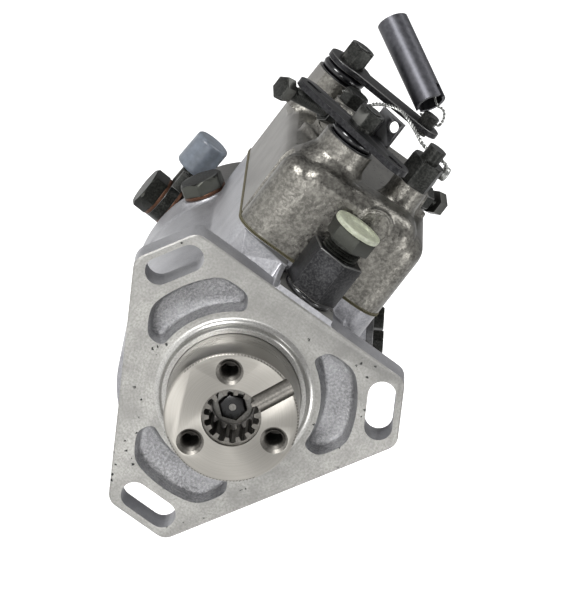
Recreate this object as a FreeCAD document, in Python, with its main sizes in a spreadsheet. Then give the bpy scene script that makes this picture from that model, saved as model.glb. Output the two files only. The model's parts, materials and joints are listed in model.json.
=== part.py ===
# Rotary distributor injection pump with a mechanical governor, in millimetres.
# Y is the drive axis and the drive end faces -Y. Z is up, towards the governor cover, and X is to the
# right seen from the drive end. The origin lies on the drive axis, in the mounting flange's front face.
import FreeCAD, Part
import math
import os
import re
import Sketcher
from FreeCAD import Rotation, Vector

doc = FreeCAD.newDocument("InjectionPump")
sheet = doc.addObject("Spreadsheet::Sheet", "Sizes")

# Driving dimensions: name, value, what it measures
SIZES = (
    # Mounting flange
    ("flange_edge", 37.8, "axis to each long edge"),
    ("flange_corner", 55.65, "axis to each cut-off corner"),
    ("flange_thick", 12.5, "thickness"),
    ("slot_pitch", 48.66, "axis to the middle of each slot"),
    ("slot_width", 9.4, "width of a mounting slot"),
    ("slot_length", 20.5, "length of a mounting slot over its round ends"),
    ("recess_inner", 29.0, "inner radius of the cast recesses"),
    ("recess_outer", 40.5, "outer radius of the cast recesses"),
    ("recess_span", 70.0, "angle that each recess covers"),
    ("recess_depth", 6.5, "depth of the recesses"),
    ("pilot_radius", 24.2, "locating spigot, outside"),
    ("pilot_proud", 3.5, "locating spigot, length in front of the face"),
    # Housing barrel and deck
    ("barrel_radius", 39.5, "outside of the barrel"),
    ("barrel_end", 118.0, "flange face to the barrel's rear face"),
    ("front_wall", 22.0, "flange face to the governor chamber"),
    ("chamber_radius", 33.0, "inside of the barrel"),
    ("deck_left", 31.0, "drive axis to the deck's left side"),
    ("deck_right", 26.0, "drive axis to the deck's right side"),
    ("deck_front", 18.6, "flange face to the front of the deck"),
    ("deck_rear", 116.0, "flange face to the rear of the deck"),
    ("deck_rise", 4.0, "barrel to the gasket face"),
    ("deck_top", "=barrel_radius + deck_rise", "drive axis to the gasket face"),
    ("deck_round", 9.0, "corner radius of the deck, gasket and cover"),
    ("deck_land", 5.0, "width of the gasket face round the window"),
    ("skirt_bottom", 12.0, "height where the deck's sides run into the barrel"),
    # Governor cover
    ("gasket_thick", 0.8, "cover gasket"),
    ("cover_top", 74.0, "drive axis to the cover's flat top"),
    ("cover_wall", 4.0, "wall of the cover"),
    ("cover_edge", 7.0, "rounding along the top of the cover"),
    ("bulge_top", 77.5, "top of the bulge at the cover's front"),
    ("bulge_left", 23.0, "drive axis to the bulge's left side"),
    ("bulge_right", 20.0, "drive axis to the bulge's right side"),
    ("bulge_depth", 17.0, "length of the bulge along the drive axis"),
    ("pad_radius", 5.75, "round pad on the cover's front"),
    ("pad_x", 5.7, "round pad, sideways"),
    ("pad_z", 69.5, "round pad, height"),
    # Drive hub and shaft
    ("hub_radius", 22.225, "outside of the drive hub"),
    ("hub_front", 24.7, "hub face in front of the flange face"),
    ("hub_back", 1.0, "hub disc behind the flange face"),
    ("hub_gap", 0.375, "clearance round the hub disc"),
    ("hub_pitch", 15.875, "axis to each tapped hole in the hub"),
    ("hub_hole", 3.45, "radius of the tapped holes"),
    ("hub_hole_depth", 16.0, "depth of the tapped holes"),
    ("hub_bore", 9.85, "counterbore in the hub's face"),
    ("hub_bore_depth", 1.5, "depth of that counterbore"),
    ("hub_shank", 14.0, "hub journal in the oil seal"),
    ("hub_end", 10.0, "rear end of the hub journal"),
    ("hub_groove", 3.1, "radius of the timing groove across the face"),
    ("spline_minor", 7.4, "inner radius of the hub's splines"),
    ("spline_major", 9.2, "outer radius of the hub's splines"),
    ("spline_teeth", 14, "number of splines"),
    ("spline_gap", 0.06, "clearance in the spline"),
    ("shaft_front", 10.0, "spline front in front of the flange face"),
    ("journal_radius", 12.0, "shaft journal"),
    ("journal_end", 22.4, "rear end of the journal"),
    ("shaft_radius", 9.0, "shaft inside the governor"),
    ("shaft_end", 66.0, "front of the shaft's drive disc"),
    ("drive_disc", 14.0, "radius of the drive disc"),
    ("tongue_width", 10.0, "width of the driving tongue"),
    ("tongue_length", 4.4, "length of the driving tongue"),
    ("screw_head", 6.1, "radius of the round flange on the hub screw's head"),
    ("screw_head_front", 18.0, "screw head in front of the flange face"),
    ("screw_head_length", 8.0, "length of the screw head"),
    ("screw_flats", 8.8, "hub screw across flats"),
    ("screw_flange", 1.6, "thickness of that flange"),
    ("screw_shank", 4.0, "radius of the hub screw's thread"),
    ("screw_depth", 14.0, "screw in the shaft"),
    ("seal_radius", 19.0, "outside of the oil seal"),
    ("seal_front", 2.0, "front of the oil seal"),
    ("seal_length", 7.0, "length of the oil seal"),
    ("bush_wall", 3.5, "wall of the shaft bush"),
    ("run_gap", 0.05, "radial clearance of a running fit"),
    ("seat_gap", 0.1, "clearance between parts that only rest together"),
    # Governor weights and thrust sleeve
    ("cage_gap", 2.0, "clearance round the weight cage"),
    ("cage_radius", "=chamber_radius - cage_gap", "outside of the weight cage"),
    ("cage_front", 23.0, "front of the weight cage"),
    ("cage_plate", 3.0, "thickness of the cage's plate"),
    ("cage_length", 24.0, "length of the cage over its posts"),
    ("cage_post", 6.0, "width of a cage post"),
    ("weight_pivot_r", 26.0, "drive axis to a weight's pivot edge"),
    ("weight_length", 17.0, "length of a weight's block"),
    ("weight_inner", 15.0, "drive axis to the inside of a weight"),
    ("weight_outer", 27.0, "drive axis to the outside of a weight"),
    ("weight_width", 18.0, "width of a weight"),
    ("toe_length", 4.0, "a weight's toe behind its block"),
    ("toe_inner", 12.5, "drive axis to the tip of a toe"),
    ("toe_thick", 4.5, "thickness of a toe"),
    ("sleeve_flange", 18.0, "radius of the thrust sleeve's flange"),
    ("sleeve_plate", 2.8, "thickness of that flange"),
    ("sleeve_radius", 13.0, "outside of the thrust sleeve"),
    ("sleeve_length", 8.0, "length of the thrust sleeve"),
    ("sleeve_gap", 0.3, "toe to sleeve flange, and weight to cage plate"),
    ("arm_gap", 0.5, "thrust sleeve to governor arm"),
    # Cam ring and pumping rotor
    ("cam_front", 75.0, "front of the cam ring"),
    ("cam_length", 16.0, "length of the cam ring"),
    ("cam_base", 23.6, "inner radius of the cam ring between its lobes"),
    ("cam_lift", 1.6, "height of a cam lobe"),
    ("lobe_radius", 4.0, "rounding of a cam lobe"),
    ("cam_gap", 0.1, "cam ring in the housing"),
    ("rotor_head", 18.0, "radius of the rotor's pumping head"),
    ("rotor_radius", 10.0, "radius of the rotor in the hydraulic head"),
    ("plunger_radius", 3.6, "radius of the pumping plungers"),
    ("plunger_inner", 2.0, "drive axis to the inner end of a plunger"),
    ("plunger_outer", 12.2, "drive axis to the outer end of a plunger"),
    ("shoe_width", 12.0, "width of a roller shoe"),
    ("shoe_length", 11.6, "length of a roller shoe along the drive axis"),
    ("shoe_outer", 19.2, "drive axis to the outside of a shoe"),
    ("roller_radius", 4.0, "radius of the cam rollers"),
    ("roller_pitch", 19.45, "drive axis to the axis of a roller"),
    ("roller_length", 11.0, "length of a cam roller"),
    # Hydraulic head, transfer pump and end plate
    ("head_front", 93.0, "front of the hydraulic head"),
    ("head_gap", 0.05, "head in the housing bore"),
    ("collar_radius", 36.5, "head behind the housing"),
    ("head_end", 155.0, "rear face of the head"),
    ("liner_radius", 19.0, "outside of the transfer pump liner"),
    ("liner_bore", 14.4, "inside of the liner"),
    ("liner_shift", 0.8, "eccentricity of the liner"),
    ("liner_length", 8.5, "length of the transfer pump"),
    ("vane_rotor", 13.4, "radius of the transfer pump rotor"),
    ("vane_tip", 13.55, "drive axis to a vane's tip"),
    ("vane_thick", 2.5, "thickness of a vane"),
    ("plate_radius", 33.0, "radius of the end plate"),
    ("plate_thick", 10.0, "thickness of the end plate"),
    ("plate_bolt_pitch", 27.0, "axis to each end plate screw"),
    ("valve_y", 9.5, "end plate face to the regulating valve's axis"),
    ("valve_boss", 9.0, "radius of the regulating valve's boss"),
    ("valve_boss_top", 38.0, "top of the boss"),
    ("valve_bore", 4.5, "radius of the regulating valve's bore"),
    ("valve_bore_bottom", 8.0, "bottom of that bore"),
    ("piston_length", 9.0, "length of the regulating piston"),
    ("piston_rest", 10.0, "underside of the regulating piston at rest"),
    ("union_spigot", 4.0, "inlet union in the bore"),
    ("union_flats", 17.0, "inlet union across flats"),
    ("union_hex", 6.0, "height of the inlet union's hexagon"),
    ("union_neck", 6.6, "radius of the inlet union's thread"),
    ("union_length", 12.0, "length of the inlet union's thread"),
    ("union_bore", 3.2, "radius of the inlet's fuel bore"),
    # High pressure outlets
    ("outlet_count", 4, "number of outlets"),
    ("outlet_angle", 177.0, "angle of the first outlet, from +X towards +Z"),
    ("outlet_y", 142.0, "outlets, along the drive axis"),
    ("outlet_bore", 3.0, "radius of an outlet's hole in the head"),
    ("banjo_eye", 7.6, "radius of a banjo's eye"),
    ("banjo_thick", 4.0, "thickness of a banjo's eye"),
    ("banjo_bore", 5.2, "hole through a banjo"),
    ("copper_thick", 1.2, "thickness of the sealing washers"),
    ("stub_radius", 3.4, "radius of a banjo's stub"),
    ("stub_length", 26.7, "bolt axis to the end of a stub"),
    ("cap_radius", 6.5, "radius of a protective cap"),
    ("cap_length", 13.0, "length of a protective cap"),
    ("cap_wall", 1.6, "wall of a protective cap's end"),
    ("bolt_flats", 14.0, "outlet bolt across flats"),
    ("bolt_head", 5.6, "height of an outlet bolt's head"),
    ("bolt_shank", 4.9, "radius of an outlet bolt's shank"),
    ("bolt_depth", 9.0, "outlet bolt in the head"),
    # Screws in the barrel
    ("lock_angle", 147.0, "left head locking screw, from +X towards +Z"),
    ("lock_y", 109.0, "head locking screws, along the drive axis"),
    ("lock_flats", 14.0, "head locking screws across flats"),
    ("lock_head", 4.6, "height of a locking screw's head"),
    ("lock_shank", 4.5, "radius of a locking screw's shank"),
    ("lock_boss", 8.6, "radius of the spot face under a locking screw"),
    ("lock_washer", 7.6, "radius of a copper washer under a locking screw"),
    ("cam_screw_flats", 17.0, "cam locking screw across flats"),
    ("cam_screw_shank", 6.0, "radius of the cam locking screw"),
    # Inspection cover
    ("window_angle", 33.0, "inspection cover, from +X towards +Z"),
    ("window_rise", 3.0, "barrel to the cover's seat"),
    ("window_face", "=barrel_radius + window_rise", "drive axis to the cover's seat"),
    ("window_width", 24.0, "cover, round the barrel"),
    ("window_length", 36.0, "cover, along the drive axis"),
    ("window_y", 80.0, "middle of the cover"),
    ("window_hole", 9.0, "radius of the inspection hole"),
    ("window_plate", 2.5, "thickness of the cover"),
    ("window_screw_pitch", 13.5, "middle of the cover to each screw"),
    ("window_screw", 2.4, "radius of the cover screws"),
    # Fuel return adapter in front of the cover
    ("adapter_y", 8.3, "adapter's axis behind the flange face"),
    ("adapter_rise", 0.2, "barrel to the adapter's seat"),
    ("adapter_seat", "=barrel_radius + adapter_rise", "height of the adapter's seat"),
    ("adapter_boss", 10.4, "half the width of the adapter's boss"),
    ("adapter_washer_radius", 8.1, "sealing washer under the adapter"),
    ("adapter_flats", 17.5, "adapter across flats"),
    ("adapter_height", 18.3, "adapter's seat to the top of its hexagon"),
    ("adapter_hex_top", "=adapter_seat + adapter_height", "top of the adapter's hexagon"),
    ("adapter_neck", 5.4, "radius of the adapter's bore wall"),
    ("adapter_depth", 12.0, "adapter's thread in the housing"),
    ("adapter_thread", 6.7, "radius of the threads"),
    ("adapter_fuel", 2.5, "radius of the fuel bore"),
    ("plug_flats", 14.5, "plug across flats"),
    ("plug_gap", 4.0, "adapter's hexagon to the plug's"),
    ("plug_hex_bottom", "=adapter_hex_top + plug_gap", "underside of the plug's hexagon"),
    ("plug_height", 5.6, "height of the plug's hexagon"),
    ("plug_hex_top", "=plug_hex_bottom + plug_height", "top of the plug's hexagon"),
    ("plug_depth", 8.0, "plug's thread in the adapter"),
    ("disc_radius", 8.5, "radius of the plastic transit disc"),
    ("disc_thick", 1.8, "thickness of the plastic transit disc"),
    # Throttle and stop shafts
    ("throttle_x", -15.8, "throttle shaft, sideways"),
    ("throttle_y", 34.0, "throttle shaft, along the drive axis"),
    ("throttle_boss", 9.25, "radius of the throttle boss"),
    ("throttle_boss_top", 84.8, "top of the throttle boss"),
    ("throttle_lever_z", 88.8, "underside of the throttle lever"),
    ("stop_x", -23.6, "stop shaft, sideways"),
    ("stop_y", 90.0, "stop shaft, along the drive axis"),
    ("stop_boss", 8.8, "radius of the stop boss"),
    ("stop_boss_top", 88.0, "top of the stop boss"),
    ("stop_lever_z", 92.2, "underside of the stop lever"),
    ("lever_thick", 2.2, "thickness of the levers"),
    ("spindle_radius", 4.0, "radius of both shafts"),
    ("spindle_thread", 3.0, "radius of the threads on the shafts"),
    ("spindle_bottom", 62.0, "lower end of both shafts"),
    ("crank_length", 10.0, "length of the cranks under the cover"),
    ("crank_pin", 1.0, "radius of the spring pin on the throttle crank"),
    ("throttle_crank", 30.0, "direction of the throttle crank"),
    ("stop_crank", -10.0, "direction of the stop crank"),
    ("dust_radius", 8.3, "radius of the dust rings"),
    ("dust_gap", 0.4, "dust ring to lever"),
    ("nut_flats", 8.8, "shaft nuts across flats"),
    ("nut_height", 6.8, "height of the shaft nuts"),
    ("nut_washer", 4.8, "radius of the washer face under a shaft nut"),
    ("thread_proud", 0.4, "thread above the nuts"),
    ("throttle_turn", -30.0, "direction of the throttle lever"),
    ("throttle_left", 20.7, "pivot to the lever's left end, along it"),
    ("throttle_right", 18.4, "pivot to the lever's right end, along it"),
    ("throttle_shift", 3.5, "lever's middle line in front of the pivot"),
    ("throttle_half", 5.5, "half the width of the throttle lever"),
    ("lever_slot", 2.6, "width of the slots in the throttle lever"),
    ("lever_slot_run", 4.0, "length of the straight part of those slots"),
    ("ear_start", -0.3, "pivot to the ear, along the lever"),
    ("ear_length", 9.7, "length of the ear"),
    ("ear_height", 11.2, "height of the ear over the lever"),
    ("ear_thick", 1.7, "thickness of the ear"),
    ("ear_back", 5.3, "pivot to the ear's front face, across the lever"),
    ("ear_hole_shift", 2.3, "middle of the ear to its hole, along the lever"),
    ("ear_margin", 0.9, "hole to the ear's top edge"),
    ("ear_hole", 2.0, "radius of the hole in the ear"),
    ("stop_turn", -15.2, "direction of the stop lever"),
    ("stop_reach", 33.2, "pivot to the end of the stop lever"),
    ("stop_shift", 1.5, "stop lever's middle line in front of the pivot"),
    ("stop_half", 5.5, "half the width of the stop lever's end"),
    ("clamp_flats", 5.6, "clamp screw on the stop lever across flats"),
    ("clamp_height", 4.0, "height of the clamp screw's head"),
    ("clamp_radius", 2.4, "radius of the clamp screw"),
    # Speed stop screws
    ("speed_z", 84.3, "height of the long stop screw"),
    ("speed_angle", 30.8, "direction of the long stop screw"),
    ("speed_lug_x", -20.65, "lug of the long stop screw, sideways"),
    ("speed_lug_y", 55.9, "lug of the long stop screw, along the drive axis"),
    ("speed_radius", 2.5, "radius of the stop screws"),
    ("speed_flats", 7.6, "stop screws and lock nuts across flats"),
    ("speed_head", 4.2, "height of the stop screws' heads"),
    ("speed_reach", 17.0, "long screw in front of its lock nut"),
    ("lug_half", 4.2, "half the width of a lug"),
    ("lug_long", 7.0, "length of a lug along its screw"),
    ("lock_nut", 3.6, "height of a lock nut"),
    ("idle_z", 78.8, "height of the short stop screw"),
    ("idle_angle", 36.3, "direction of the short stop screw"),
    ("idle_lug_x", 14.1, "lug of the short stop screw, sideways"),
    ("idle_lug_y", 52.6, "lug of the short stop screw, along the drive axis"),
    ("idle_reach", 3.4, "short screw outside its lock nut"),
    # Cover nuts, seal wire and tamper sleeve
    ("cap_nut_x", 10.6, "front cover nut, sideways"),
    ("cap_nut_y", 42.8, "front cover nut, along the drive axis"),
    ("rear_nut_x", 17.5, "rear cover nut, sideways"),
    ("rear_nut_y", 77.0, "rear cover nut, along the drive axis"),
    ("cap_nut_seat", 83.6, "front cover nut, underside"),
    ("rear_nut_seat", 76.5, "rear cover nut, underside"),
    ("cap_nut_boss", 6.4, "radius of the cover nuts' bosses"),
    ("cap_nut_flats", 11.4, "front cover nut across flats"),
    ("cap_nut_hex", 9.8, "height of the front nut's hexagon"),
    ("cap_nut_crown", 3.3, "radius of the front nut's drilled crown"),
    ("cap_nut_top", 5.0, "height of that crown"),
    ("rear_nut_flats", 9.6, "rear cover nut across flats"),
    ("rear_nut_hex", 4.6, "height of the rear nut's hexagon"),
    ("rear_nut_crown", 3.0, "radius of the rear nut's drilled crown"),
    ("rear_nut_top", 3.0, "height of that crown"),
    ("cap_nut_stud", 3.0, "radius of the cover studs"),
    ("stud_foot", 37.0, "lower end of the cover studs"),
    ("wire_radius", 0.7, "radius of the twisted seal wire"),
    ("vent_x", -17.8, "vent screw, sideways"),
    ("vent_y", 73.0, "vent screw, along the drive axis"),
    ("vent_seat", 86.0, "vent screw, underside of its head"),
    ("vent_boss", 5.2, "radius of the vent screw's boss"),
    ("vent_flats", 8.0, "vent screw across flats"),
    ("vent_head", 5.0, "height of the vent screw's head"),
    ("vent_radius", 2.5, "radius of the vent screw"),
    ("vent_depth", 8.0, "depth of the vent screw"),
    ("seal_x", 18.5, "seal on the wire, sideways"),
    ("seal_y", 50.0, "seal on the wire, along the drive axis"),
    ("seal_z", 91.0, "seal on the wire, height"),
    ("seal_disc", 2.6, "radius of the seal on the wire"),
    ("seal_thick", 2.6, "thickness of the seal on the wire"),
    ("tamper_x", 5.6, "tamper sleeve's near end, sideways"),
    ("tamper_y", 84.0, "tamper sleeve's near end, along the drive axis"),
    ("tamper_z", 100.5, "tamper sleeve's near end, height"),
    ("tamper_yaw", 141.1, "direction of the tamper sleeve, from +X towards +Y"),
    ("tamper_pitch", 19.2, "rise of the tamper sleeve"),
    ("sleeve_slit", 2.4, "width of the slit in the tamper sleeve's near end"),
    ("sleeve_tube", 5.5, "radius of the tamper sleeve"),
    ("sleeve_tube_wall", 1.2, "wall of the tamper sleeve"),
    ("sleeve_tube_length", 33.7, "length of the tamper sleeve"),
    ("tie_radius", 0.5, "radius of the tie wire"),
    # Governor linkage
    ("arm_pivot_z", 40.0, "governor arm pivot, height"),
    ("arm_thick", 4.0, "thickness of the governor arm"),
    ("arm_top", 60.0, "top of the governor arm"),
    ("arm_pin", 2.0, "radius of the arm's pivot pin"),
    ("arm_hub", 4.2, "radius of the arm's hub"),
    ("leg_inner", 9.8, "drive axis to the inside of the arm's legs"),
    ("leg_outer", 15.0, "drive axis to the outside of the arm's legs"),
    ("leg_bottom", -5.0, "lower end of the arm's legs"),
    ("link_x", 6.0, "link rod, sideways"),
    ("link_z", 56.0, "link rod, height"),
    ("link_radius", 1.2, "radius of the link rod"),
    ("metering_x", -2.0, "metering valve, sideways"),
    ("metering_y", 99.0, "metering valve, along the drive axis"),
    ("metering_radius", 3.5, "radius of the metering valve"),
    ("metering_bottom", 14.0, "lower end of the metering valve"),
    ("bracket_top", 43.0, "top of the control bracket"),
    ("bracket_thick", 2.5, "thickness of the control bracket"),
    ("bracket_front", 37.0, "front of the control bracket"),
    ("bracket_rear", 88.0, "rear of the control bracket"),
    ("cheek_thick", 2.2, "thickness of the bracket's cheeks"),
    ("metering_lever", 51.0, "underside of the metering valve's lever"),
    ("spring_z", 57.0, "governor spring, height"),
    ("spring_radius", 3.6, "radius of the governor spring's coil"),
    ("spring_wire", 0.5, "radius of the spring wires"),
)

NAMES = {name for name, number, note in SIZES}
for row, (name, number, note) in enumerate(SIZES, start=1):
    sheet.set(f"A{row}", name)
    sheet.set(f"B{row}", str(number))
    sheet.set(f"C{row}", note)
    sheet.setAlias(f"B{row}", name)
doc.recompute()


def formula(text):
    # A formula of the sheet's names, written as the document's expressions want it
    return re.sub(r"[a-z_]+[a-z_0-9]*", lambda word: f"Sizes.{word[0]}" if word[0] in NAMES else word[0], str(text))


def value(text):
    # The number that a formula gives
    result = sheet.evalExpression(formula(text))
    return float(getattr(result, "Value", result))


def bind(piece, **formulas):
    for prop, text in formulas.items():
        piece.setExpression(prop, formula(text))


ORIGIN = ("0", "0", "0")
UP = Rotation()
DOWN = Rotation(Vector(1, 0, 0), 180)


def along_y(angle=0.0):
    # Local Z along the drive axis towards the rear, local X at this angle from +X towards +Z
    return Rotation(Vector(1, 0, 0), -90).multiply(Rotation(Vector(0, 0, 1), -angle))


def outward(angle):
    # Local Z straight out from the drive axis, at this angle from +X towards +Z, local Y along the drive axis
    return Rotation(Vector(0, 1, 0), 90 - angle)


def level(angle):
    # Local Z level, at this angle from +X towards +Y, and local Y up
    return Rotation(Vector(0, 0, 1), angle).multiply(Rotation(Vector(0, 1, 0), 90)).multiply(Rotation(Vector(0, 0, 1), 90))


def polar(radius, angle, along):
    # The point at this radius and angle round the drive axis
    return (f"({radius}) * cos({angle})", str(along), f"({radius}) * sin({angle})")


def place(piece, at, turn=UP):
    piece.Placement.Rotation = turn
    for axis, text in zip("xyz", at):
        piece.setExpression(f"Placement.Base.{axis}", formula(text))
    return piece


def rod(name, radius, height, at=ORIGIN, turn=UP, sweep=360):
    piece = doc.addObject("Part::Cylinder", name)
    bind(piece, Radius=radius, Height=height, Angle=sweep)
    return place(piece, at, turn)


def ball(name, radius, at):
    piece = doc.addObject("Part::Sphere", name)
    bind(piece, Radius=radius)
    return place(piece, at)


def wire_run(name, radius, points):
    # Round wire from point to point, with a ball at each bend
    pieces = []
    for i, (start, end) in enumerate(zip(points, points[1:])):
        steps = [f"({two}) - ({one})" for one, two in zip(start, end)]
        aim = Vector(*[value(step) for step in steps])
        length = "sqrt(" + " + ".join(f"({step}) * ({step})" for step in steps) + ")"
        pieces.append(rod(f"{name}_{i}", radius, length, start, Rotation(Vector(0, 0, 1), aim)))
        if i:
            pieces.append(ball(f"{name}_bend_{i}", radius, start))
    return pieces


def cone(name, low, high, height, at=ORIGIN, turn=UP):
    piece = doc.addObject("Part::Cone", name)
    bind(piece, Radius1=low, Radius2=high, Height=height)
    return place(piece, at, turn)


def ring(name, radius, section, at=ORIGIN, turn=UP):
    piece = doc.addObject("Part::Torus", name)
    bind(piece, Radius1=radius, Radius2=section)
    return place(piece, at, turn)


def block(name, length, width, height, at=ORIGIN, turn=UP):
    # A box with its point in the middle of its underside
    piece = doc.addObject("Part::Box", name)
    bind(piece, Length=length, Width=width, Height=height)
    side = turn.multVec(Vector(0.5, 0, 0))
    across = turn.multVec(Vector(0, 0.5, 0))
    middle = [
        f"({point}) - ({length}) * {side[i]:.9f} - ({width}) * {across[i]:.9f}" for i, point in enumerate(at)
    ]
    return place(piece, middle, turn)


def hexagon(name, flats, height, at=ORIGIN, turn=UP, spin=0.0, sides=6):
    piece = doc.addObject("Part::Prism", name)
    piece.Polygon = sides
    bind(piece, Circumradius=f"({flats}) / 2 / cos({180 / sides})", Height=height)
    return place(piece, at, turn.multiply(Rotation(Vector(0, 0, 1), spin)))


def fuse(name, *pieces):
    whole = doc.addObject("Part::MultiFuse", name)
    whole.Shapes = list(pieces)
    return whole


def common(name, first, second):
    whole = doc.addObject("Part::Common", name)
    whole.Base = first
    whole.Tool = second
    return whole


def cut(name, base, *tools):
    whole = doc.addObject("Part::Cut", name)
    whole.Base = base
    whole.Tool = tools[0] if len(tools) == 1 else fuse(name + "_tools", *tools)
    return whole


def group(name, *pieces):
    whole = doc.addObject("Part::Compound", name)
    whole.Links = list(pieces)
    return whole


def origin_plane(body, role):
    return next(item for item in body.Origin.OriginFeatures if item.Role == role)


def outline(body, name, role, points):
    # A closed outline whose every corner is tied to the sheet
    sketch = body.newObject("Sketcher::SketchObject", name)
    sketch.AttachmentSupport = [(origin_plane(body, role), "")]
    sketch.MapMode = "FlatFace"
    corners = [Vector(value(first), value(second), 0) for first, second in points]
    for start, end in zip(corners, corners[1:] + corners[:1]):
        sketch.addGeometry(Part.LineSegment(start, end), False)
    for index, (first, second) in enumerate(points):
        before = (index - 1) % len(points)
        sketch.addConstraint(Sketcher.Constraint("Coincident", before, 2, index, 1))
        for kind, text in (("DistanceX", first), ("DistanceY", second)):
            number = sketch.addConstraint(Sketcher.Constraint(kind, -1, 1, index, 1, value(text)))
            sketch.setExpression(f"Constraints[{number}]", formula(text))
    return sketch


def revolved(name, points, at=ORIGIN, turn=UP):
    # A turned piece: its profile gives radius and height, and it turns round its own Z
    body = doc.addObject("PartDesign::Body", name)
    sketch = outline(body, name + "_profile", "XZ_Plane", points)
    turning = body.newObject("PartDesign::Revolution", name + "_turning")
    turning.Profile = sketch
    turning.ReferenceAxis = (sketch, ["V_Axis"])
    turning.Angle = 360
    sketch.Visibility = False
    return place(body, at, turn)


def plate(name, points, thickness, at=ORIGIN, turn=UP, midplane=False):
    # A flat piece cut to an outline and standing up from its own XY plane
    body = doc.addObject("PartDesign::Body", name)
    sketch = outline(body, name + "_outline", "XY_Plane", points)
    pad = body.newObject("PartDesign::Pad", name + "_pad")
    pad.Profile = sketch
    pad.Midplane = midplane
    bind(pad, Length=thickness)
    sketch.Visibility = False
    return place(body, at, turn)


def rounded_block(name, length, width, height, corner, edge, at):
    # A box with rounded upright corners, and a rounded top where an edge radius is given
    half_x = f"({length}) / 2"
    half_y = f"({width}) / 2"
    points = [(f"-{half_x}", f"-{half_y}"), (half_x, f"-{half_y}"), (half_x, half_y), (f"-{half_x}", half_y)]
    body = plate(name, points, height)
    doc.recompute()
    top = value(height)
    upright = [
        f"Edge{i}" for i, side in enumerate(body.Shape.Edges, start=1)
        if abs(side.Vertexes[0].Z - side.Vertexes[1].Z) > top / 2
    ]
    pad = body.Tip
    corners = body.newObject("PartDesign::Fillet", name + "_corners")
    corners.Base = (pad, upright)
    bind(corners, Radius=corner)
    body.Tip = corners
    if edge:
        doc.recompute()
        rim = [
            f"Edge{i}" for i, side in enumerate(body.Shape.Edges, start=1)
            if min(vertex.Z for vertex in side.Vertexes) > top - 0.01
        ]
        crest = body.newObject("PartDesign::Fillet", name + "_crest")
        crest.Base = (corners, rim)
        bind(crest, Radius=edge)
        body.Tip = crest
    return place(body, at)


def keep(label, piece):
    # This object is one sub-part, and its label names its file
    piece.Label = label
    PARTS.append(piece)
    return piece


PARTS = []
AXIAL = along_y()
FORWARD = Rotation(Vector(1, 0, 0), 90)
FLANGE_ANGLES = (30.0, 150.0, 270.0)
SPACE_X = "(deck_right - deck_left) / 2"
DECK_MIDDLE = (SPACE_X, "(deck_front + deck_rear) / 2")
DECK_WIDTH = "deck_right + deck_left"
DECK_LENGTH = "deck_rear - deck_front"
WEIGHT_FRONT = "(cage_front + cage_plate + sleeve_gap)"
TOE_END = f"({WEIGHT_FRONT} + weight_length + toe_length)"
SLEEVE_FRONT = f"({TOE_END} + sleeve_gap)"
CRANK_Y = "(throttle_y + crank_length * sin(throttle_crank))"
CRANK_X = "(throttle_x + crank_length * cos(throttle_crank))"
TAIL_X = f"({CRANK_X} + crank_pin + spring_wire + 0.1)"
ARM_Y = f"({SLEEVE_FRONT} + sleeve_length + arm_gap + arm_thick / 2)"


def screw_head(name, flats, height, radius, at, turn, spin=0.0):
    # A hexagon with its corners turned off at the outer end
    bar = hexagon(name + "_hex", flats, height, at, turn, spin)
    turned = revolved(
        name + "_turned",
        [("0", "0"), (radius, "0"), (radius, f"({height}) - ({radius} - ({flats}) / 2)"),
         (f"({flats}) / 2", height), ("0", height)],
        at, turn)
    return common(name, bar, turned)


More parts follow.
